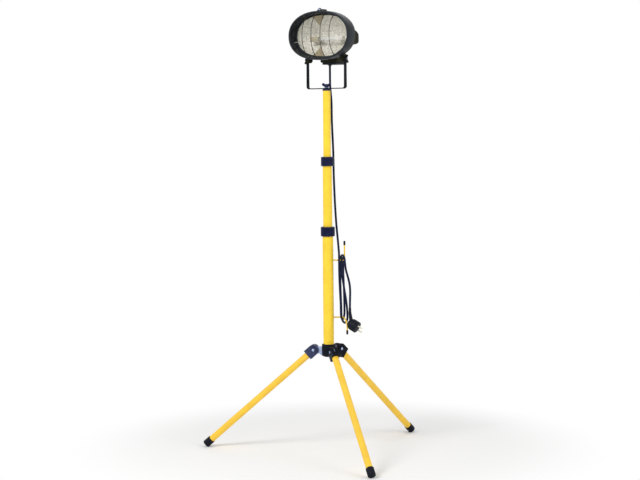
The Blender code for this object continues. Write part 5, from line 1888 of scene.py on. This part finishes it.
    def guard(self) -> None:
        """The bowed upright wires in the hood as one piece and the wire across as another, for the
        welded guard.
        """
        base = self.front + self.guard_set
        w = self.half_width - self.rim - self.guard_gap
        h = self.half_height - self.rim - self.guard_gap
        model = bmesh.new()
        paths = []
        for k in range(self.guard_wires):
            x = (k - (self.guard_wires - 1) / 2) * self.guard_pitch
            reach = self.rise(x, w, h) - 0.0006
            paths.append([(x, base - self.guard_bow * (1 - abs(t) ** 2.6), reach * t)
                          for t in (s / 14 - 1 for s in range(29))])
        reach = self.rise(self.cross_drop, h, w) - 0.0006
        cross: list[Point] = []
        for t in (s / 30 - 1 for s in range(61)):
            bow = max(self.guard_bow * (1 - abs(t) ** 5.2) - self.cross_back, 0)
            cross.append((reach * t, base - bow, -self.cross_drop))
        paths.append(cross)
        places = [[Vector((MAST_X + x, MAST_Y + y, self.centre + z)) for x, y, z in path]
                  for path in paths]
        for path in places[:-1]:
            radii = [self.guard_radius] * len(path)
            Shape.skin(model, Shape.tube_rings(path, radii, self.guard_sides))
        # The upright wires take the dark copy of the guard's steel and the wire across the bright
        # one: painted shade and a painted highlight.
        settle(Shape.finish(model, "guard_wires"), SHADED_GUARD_STEEL, "head", "wire_guard")
        settle(Shape.tube("guard_cross_wire", places[-1], self.guard_radius * 0.7,
                          self.guard_sides), LIT_GUARD_WIRE, "head", "wire_guard")

    def housing(self) -> None:
        """The housing shell with its ears, its terminal box, and the post and web that carry the
        tab's screw.
        """
        steps = 18
        start = self.back + FIT
        outside, inside = [], []
        for k in range(steps + 1):
            share = k / steps
            shrink = share ** self.taper
            w = self.mouth_width + (self.back_width - self.mouth_width) * shrink
            h = self.mouth_height + (self.back_height - self.mouth_height) * shrink
            y = start + share * self.depth
            outside.append(self.oval(0, y, w, h))
            if k:
                inside.append(self.oval(self.wall, min(y, start + self.depth - self.wall), w, h))
        rim = self.rim + self.lip
        mouth = [self.oval(rim, start), self.oval(rim, start + self.wall)]
        shell = Shape.loft("lamp_housing", inside[::-1] + mouth[::-1] + outside)
        top = self.centre - self.half_height + 0.019
        tools = []
        for side in (-1, 1):
            x0, x1 = sorted((side * self.ear_inner, side * self.ear_outer))
            outline = Shape.arc(0, self.tilt, self.ear_radius, 180, 360, 18)
            outline += [(self.ear_radius, top), (-0.0066, top)]
            ear = Shape.plate("ear", outline, self.ear_outer - self.ear_inner, 0.001)
            ear.data.transform(Matrix.Translation((MAST_X + (x0 + x1) / 2, MAST_Y, 0))
                               @ Matrix.Rotation(math.pi / 2, 4, "Z")
                               @ Matrix.Rotation(math.pi / 2, 4, "X"))
            tools.append(ear)
        tools.append(Shape.block(
            "box", (MAST_X - self.box_half, MAST_Y + self.box_front,
                    self.box_bottom + self.lid_thick + FIT),
            (MAST_X + self.box_half, MAST_Y + self.box_back,
             self.centre - self.half_height + 0.022), 0.004))
        hole = self.centre + self.half_height + self.tab_rise
        root = start + 0.010
        length = root - (self.front + self.tab_set + self.screw_seat)
        full = 0.045
        post = Shape.turned("post", [(0, full - 0.0009), (0.0022, full), (0.0028, full - 0.0005),
                                     (0.0028, 0), (0, 0)], 24)
        post.data.transform(Shape.along((0, -1, 0), (MAST_X, MAST_Y + root, hole))
                            @ Matrix.Diagonal((1, 1, length / full, 1)))
        tools.append(post)
        tools.append(Shape.block(
            "web", (MAST_X - 0.0024, MAST_Y + start + 0.0004, self.centre + 0.070),
            (MAST_X + 0.0024, MAST_Y + start + 0.0098, hole), 0.0006, 2))
        Shape.cut(shell, tools, "UNION")
        settle(shell, OLIVE_PAINT, "head", "housing")

    def covers(self) -> None:
        """The lid under the terminal box with its screws, the cord's gland and the rear."""
        half = self.box_half - self.lid_inset
        lid = Shape.block(
            "box_lid", (MAST_X - half, MAST_Y + self.box_front + self.lid_inset, self.box_bottom),
            (MAST_X + half, MAST_Y + self.box_back - self.lid_inset,
             self.box_bottom + self.lid_thick), 0.0015)
        settle(lid, HEAD_PAINT, "head", "terminal_lid")
        for k, (x, y) in enumerate(self.lid_screws):
            head = Shape.turned(f"lid_screw_{k + 1}", [
                (0, 0.0004), (0.0012, 0.0004), (0.0012, 0.0010), (0.0018, 0.0009),
                (0.0024, 0.0004), (0.0025, -0.0004), (0, -0.0004)], 24)
            settle(head, ZINC, "head", matrix=Shape.along(
                (0, 0, -1), (MAST_X + x, MAST_Y + y, self.box_bottom + 0.0007)))
        gland_low = self.box_bottom - FIT - 0.004
        gland = Shape.turned("cord_gland_nut", [
            (0, 0.004), (0.0058, 0.004), (0.0058, 0.0016), (0.0054, 0.0006), (0.0046, 0.0),
            (0.0040, 0.0), (0, 0.0)], 48, wave=(12, 0.0005, 0.0012, 0.0045))
        settle(gland, BLACK_PLASTIC, "head", "cord_gland",
               matrix=Shape.axis(gland_low, y=0.020))
        self.rear()

    def rear(self) -> None:
        """The squarish rear cover with grooves across its top."""
        start = self.back + 2 * FIT + self.depth
        z = self.centre - self.rear_drop
        rings = [(0.0004, 0.0, 0.0), (0, 0.01, 0), (0, 0.50, 0), (0.0003, 0.62, 0.0004),
                 (0.001, 0.75, 0.0015), (0.0020, 0.86, 0.0028), (0.0032, 0.93, 0.0038),
                 (0.0048, 0.975, 0.0050), (0.0070, 1.0, 0.0060)]
        rear = Shape.loft("lamp_rear", [
            self.oval(d, start + s * self.rear_depth, self.rear_width, self.rear_height - fall,
                      self.rear_power, z - fall)
            for d, s, fall in rings])
        tools = []
        half = self.groove_width / 2
        for k in range(self.grooves):
            x = MAST_X + (k - (self.grooves - 1) / 2) * self.groove_pitch
            tools.append(Shape.block(
                "groove", (x - half, MAST_Y + start + 0.008, z + 0.0235),
                (x + half, MAST_Y + start + 0.07, z + 0.04), 0.0003, 1))
        Shape.cut(rear, tools)
        settle(rear, OLIVE_PAINT, "head", "rear_cover")

    def bowl_size(self, share: float, start: float) -> tuple[float, float, float]:
        """The reflector's half sizes and place at a share of its depth.

        Args:
            share: 0 at the mouth, 1 at the back.
            start: Where the mouth is.

        Returns:
            Half width, half height and place along the lamp's axis.
        """
        curve = share ** self.bowl_curve
        w, h = (a + (b - a) * curve for a, b in zip(self.bowl_front, self.bowl_back))
        return w, h, start + share * self.bowl_depth

    def optics(self) -> None:
        """The hammered reflector with its darts of painted shade, and the lamp in its two holders.
        """
        start = self.glass_at + self.glass_thick + FIT
        inside, outside = [], []
        steps = 16
        for k in range(steps + 1):
            w, h, y = self.bowl_size(k / steps, start)
            inside.append(self.oval(0, y, w, h))
            outside.append(self.oval(-self.bowl_wall, y + self.bowl_wall, w, h))
        edge = self.rim - 0.0017
        flange = [self.oval(edge, start), self.oval(edge, start + self.bowl_wall)]
        bowl = Shape.loft("lamp_reflector", inside[::-1] + flange + outside)
        settle(bowl, HAMMERED_SILVER, "head", "reflector")
        self.lamp()
        self.darts(start)
        # The left holder takes the darker copy of the ceramic and the right the whiter: painted
        # shade and painted light.
        for side, finish in (("left", SHADED_CERAMIC), ("right", LIT_CERAMIC)):
            piece = Shape.softened(f"lamp_holder_{side}", f"lamp_socket_{side}", 0.0006)
            settle(piece, finish, "head", f"lamp_holder_{side}")

    def lamp(self) -> None:
        """The quartz lamp with its pinched ends."""
        r, end, neck, full = self.lamp_radius, self.lamp_end, self.lamp_neck, self.lamp_half
        half = [(0, full), (end - 0.0003, full), (end, full - 0.0005), (end, neck + 0.004),
                (0.0042, neck + 0.0018), (r, neck), (r, 0.001)]
        section = half + [(r + 0.0002, 0)] + [(radius, -z) for radius, z in reversed(half)]
        place = (MAST_X, MAST_Y + self.lamp_y, self.centre - self.lamp_drop)
        settle(Shape.turned("lamp_quartz", section, 32), QUARTZ, "head", "lamp_tube",
               matrix=Shape.along((1, 0, 0), place))

    def darts(self, start: float) -> None:
        """Dart-shaped sheets of painted shade laid on the reflector above and below the lamp,
        towards its left.

        Args:
            start: Where the reflector's mouth is.
        """
        steps, across = 14, 8
        for name, side in (("upper", 1), ("lower", -1)):
            rings = []
            for k in range(steps + 1):
                share = self.dart_start + (self.dart_reach - self.dart_start) * k / steps
                w, h, y = self.bowl_size(share, start)
                spread = self.dart_half * (1 - k / steps) + 0.0004
                middle = self.dart_mouth + (self.dart_tip - self.dart_mouth) * k / steps
                faces: list[list[Point]] = [[], []]
                for i in range(across + 1):
                    x = middle + spread * (2 * i / across - 1)
                    for row, lift in zip(faces, (0.0001, 0.0005)):
                        z = self.rise(x, w, h - lift)
                        row.append((MAST_X + x, MAST_Y + y, self.centre + side * z))
                rings.append(faces[0] + faces[1][::-1])
            piece = Shape.loft(f"reflector_dart_{name}", rings)
            dress(piece, DART_PAINTED_SHADE)
            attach(piece, "head")
            log.info("%s on head: %d faces", piece.name, len(piece.data.polygons))

    def build(self) -> None:
        """Builds and dresses the whole head."""
        self.frame_ring()
        self.glazing()
        self.guard()
        self.housing()
        self.covers()
        self.optics()


def main() -> None:
    """Builds the work light and its studio in order."""
    Studio().build()
    cord = MainsCord()
    cord.build(Plug().build(cord))
    CordHooks().build(cord)
    LampHead().build()
    Yoke().build()
    Mast().build()
    Tripod().build()


if __name__ == "__main__":
    logging.basicConfig(level=logging.INFO, format="%(message)s")
    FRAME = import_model()
    main()
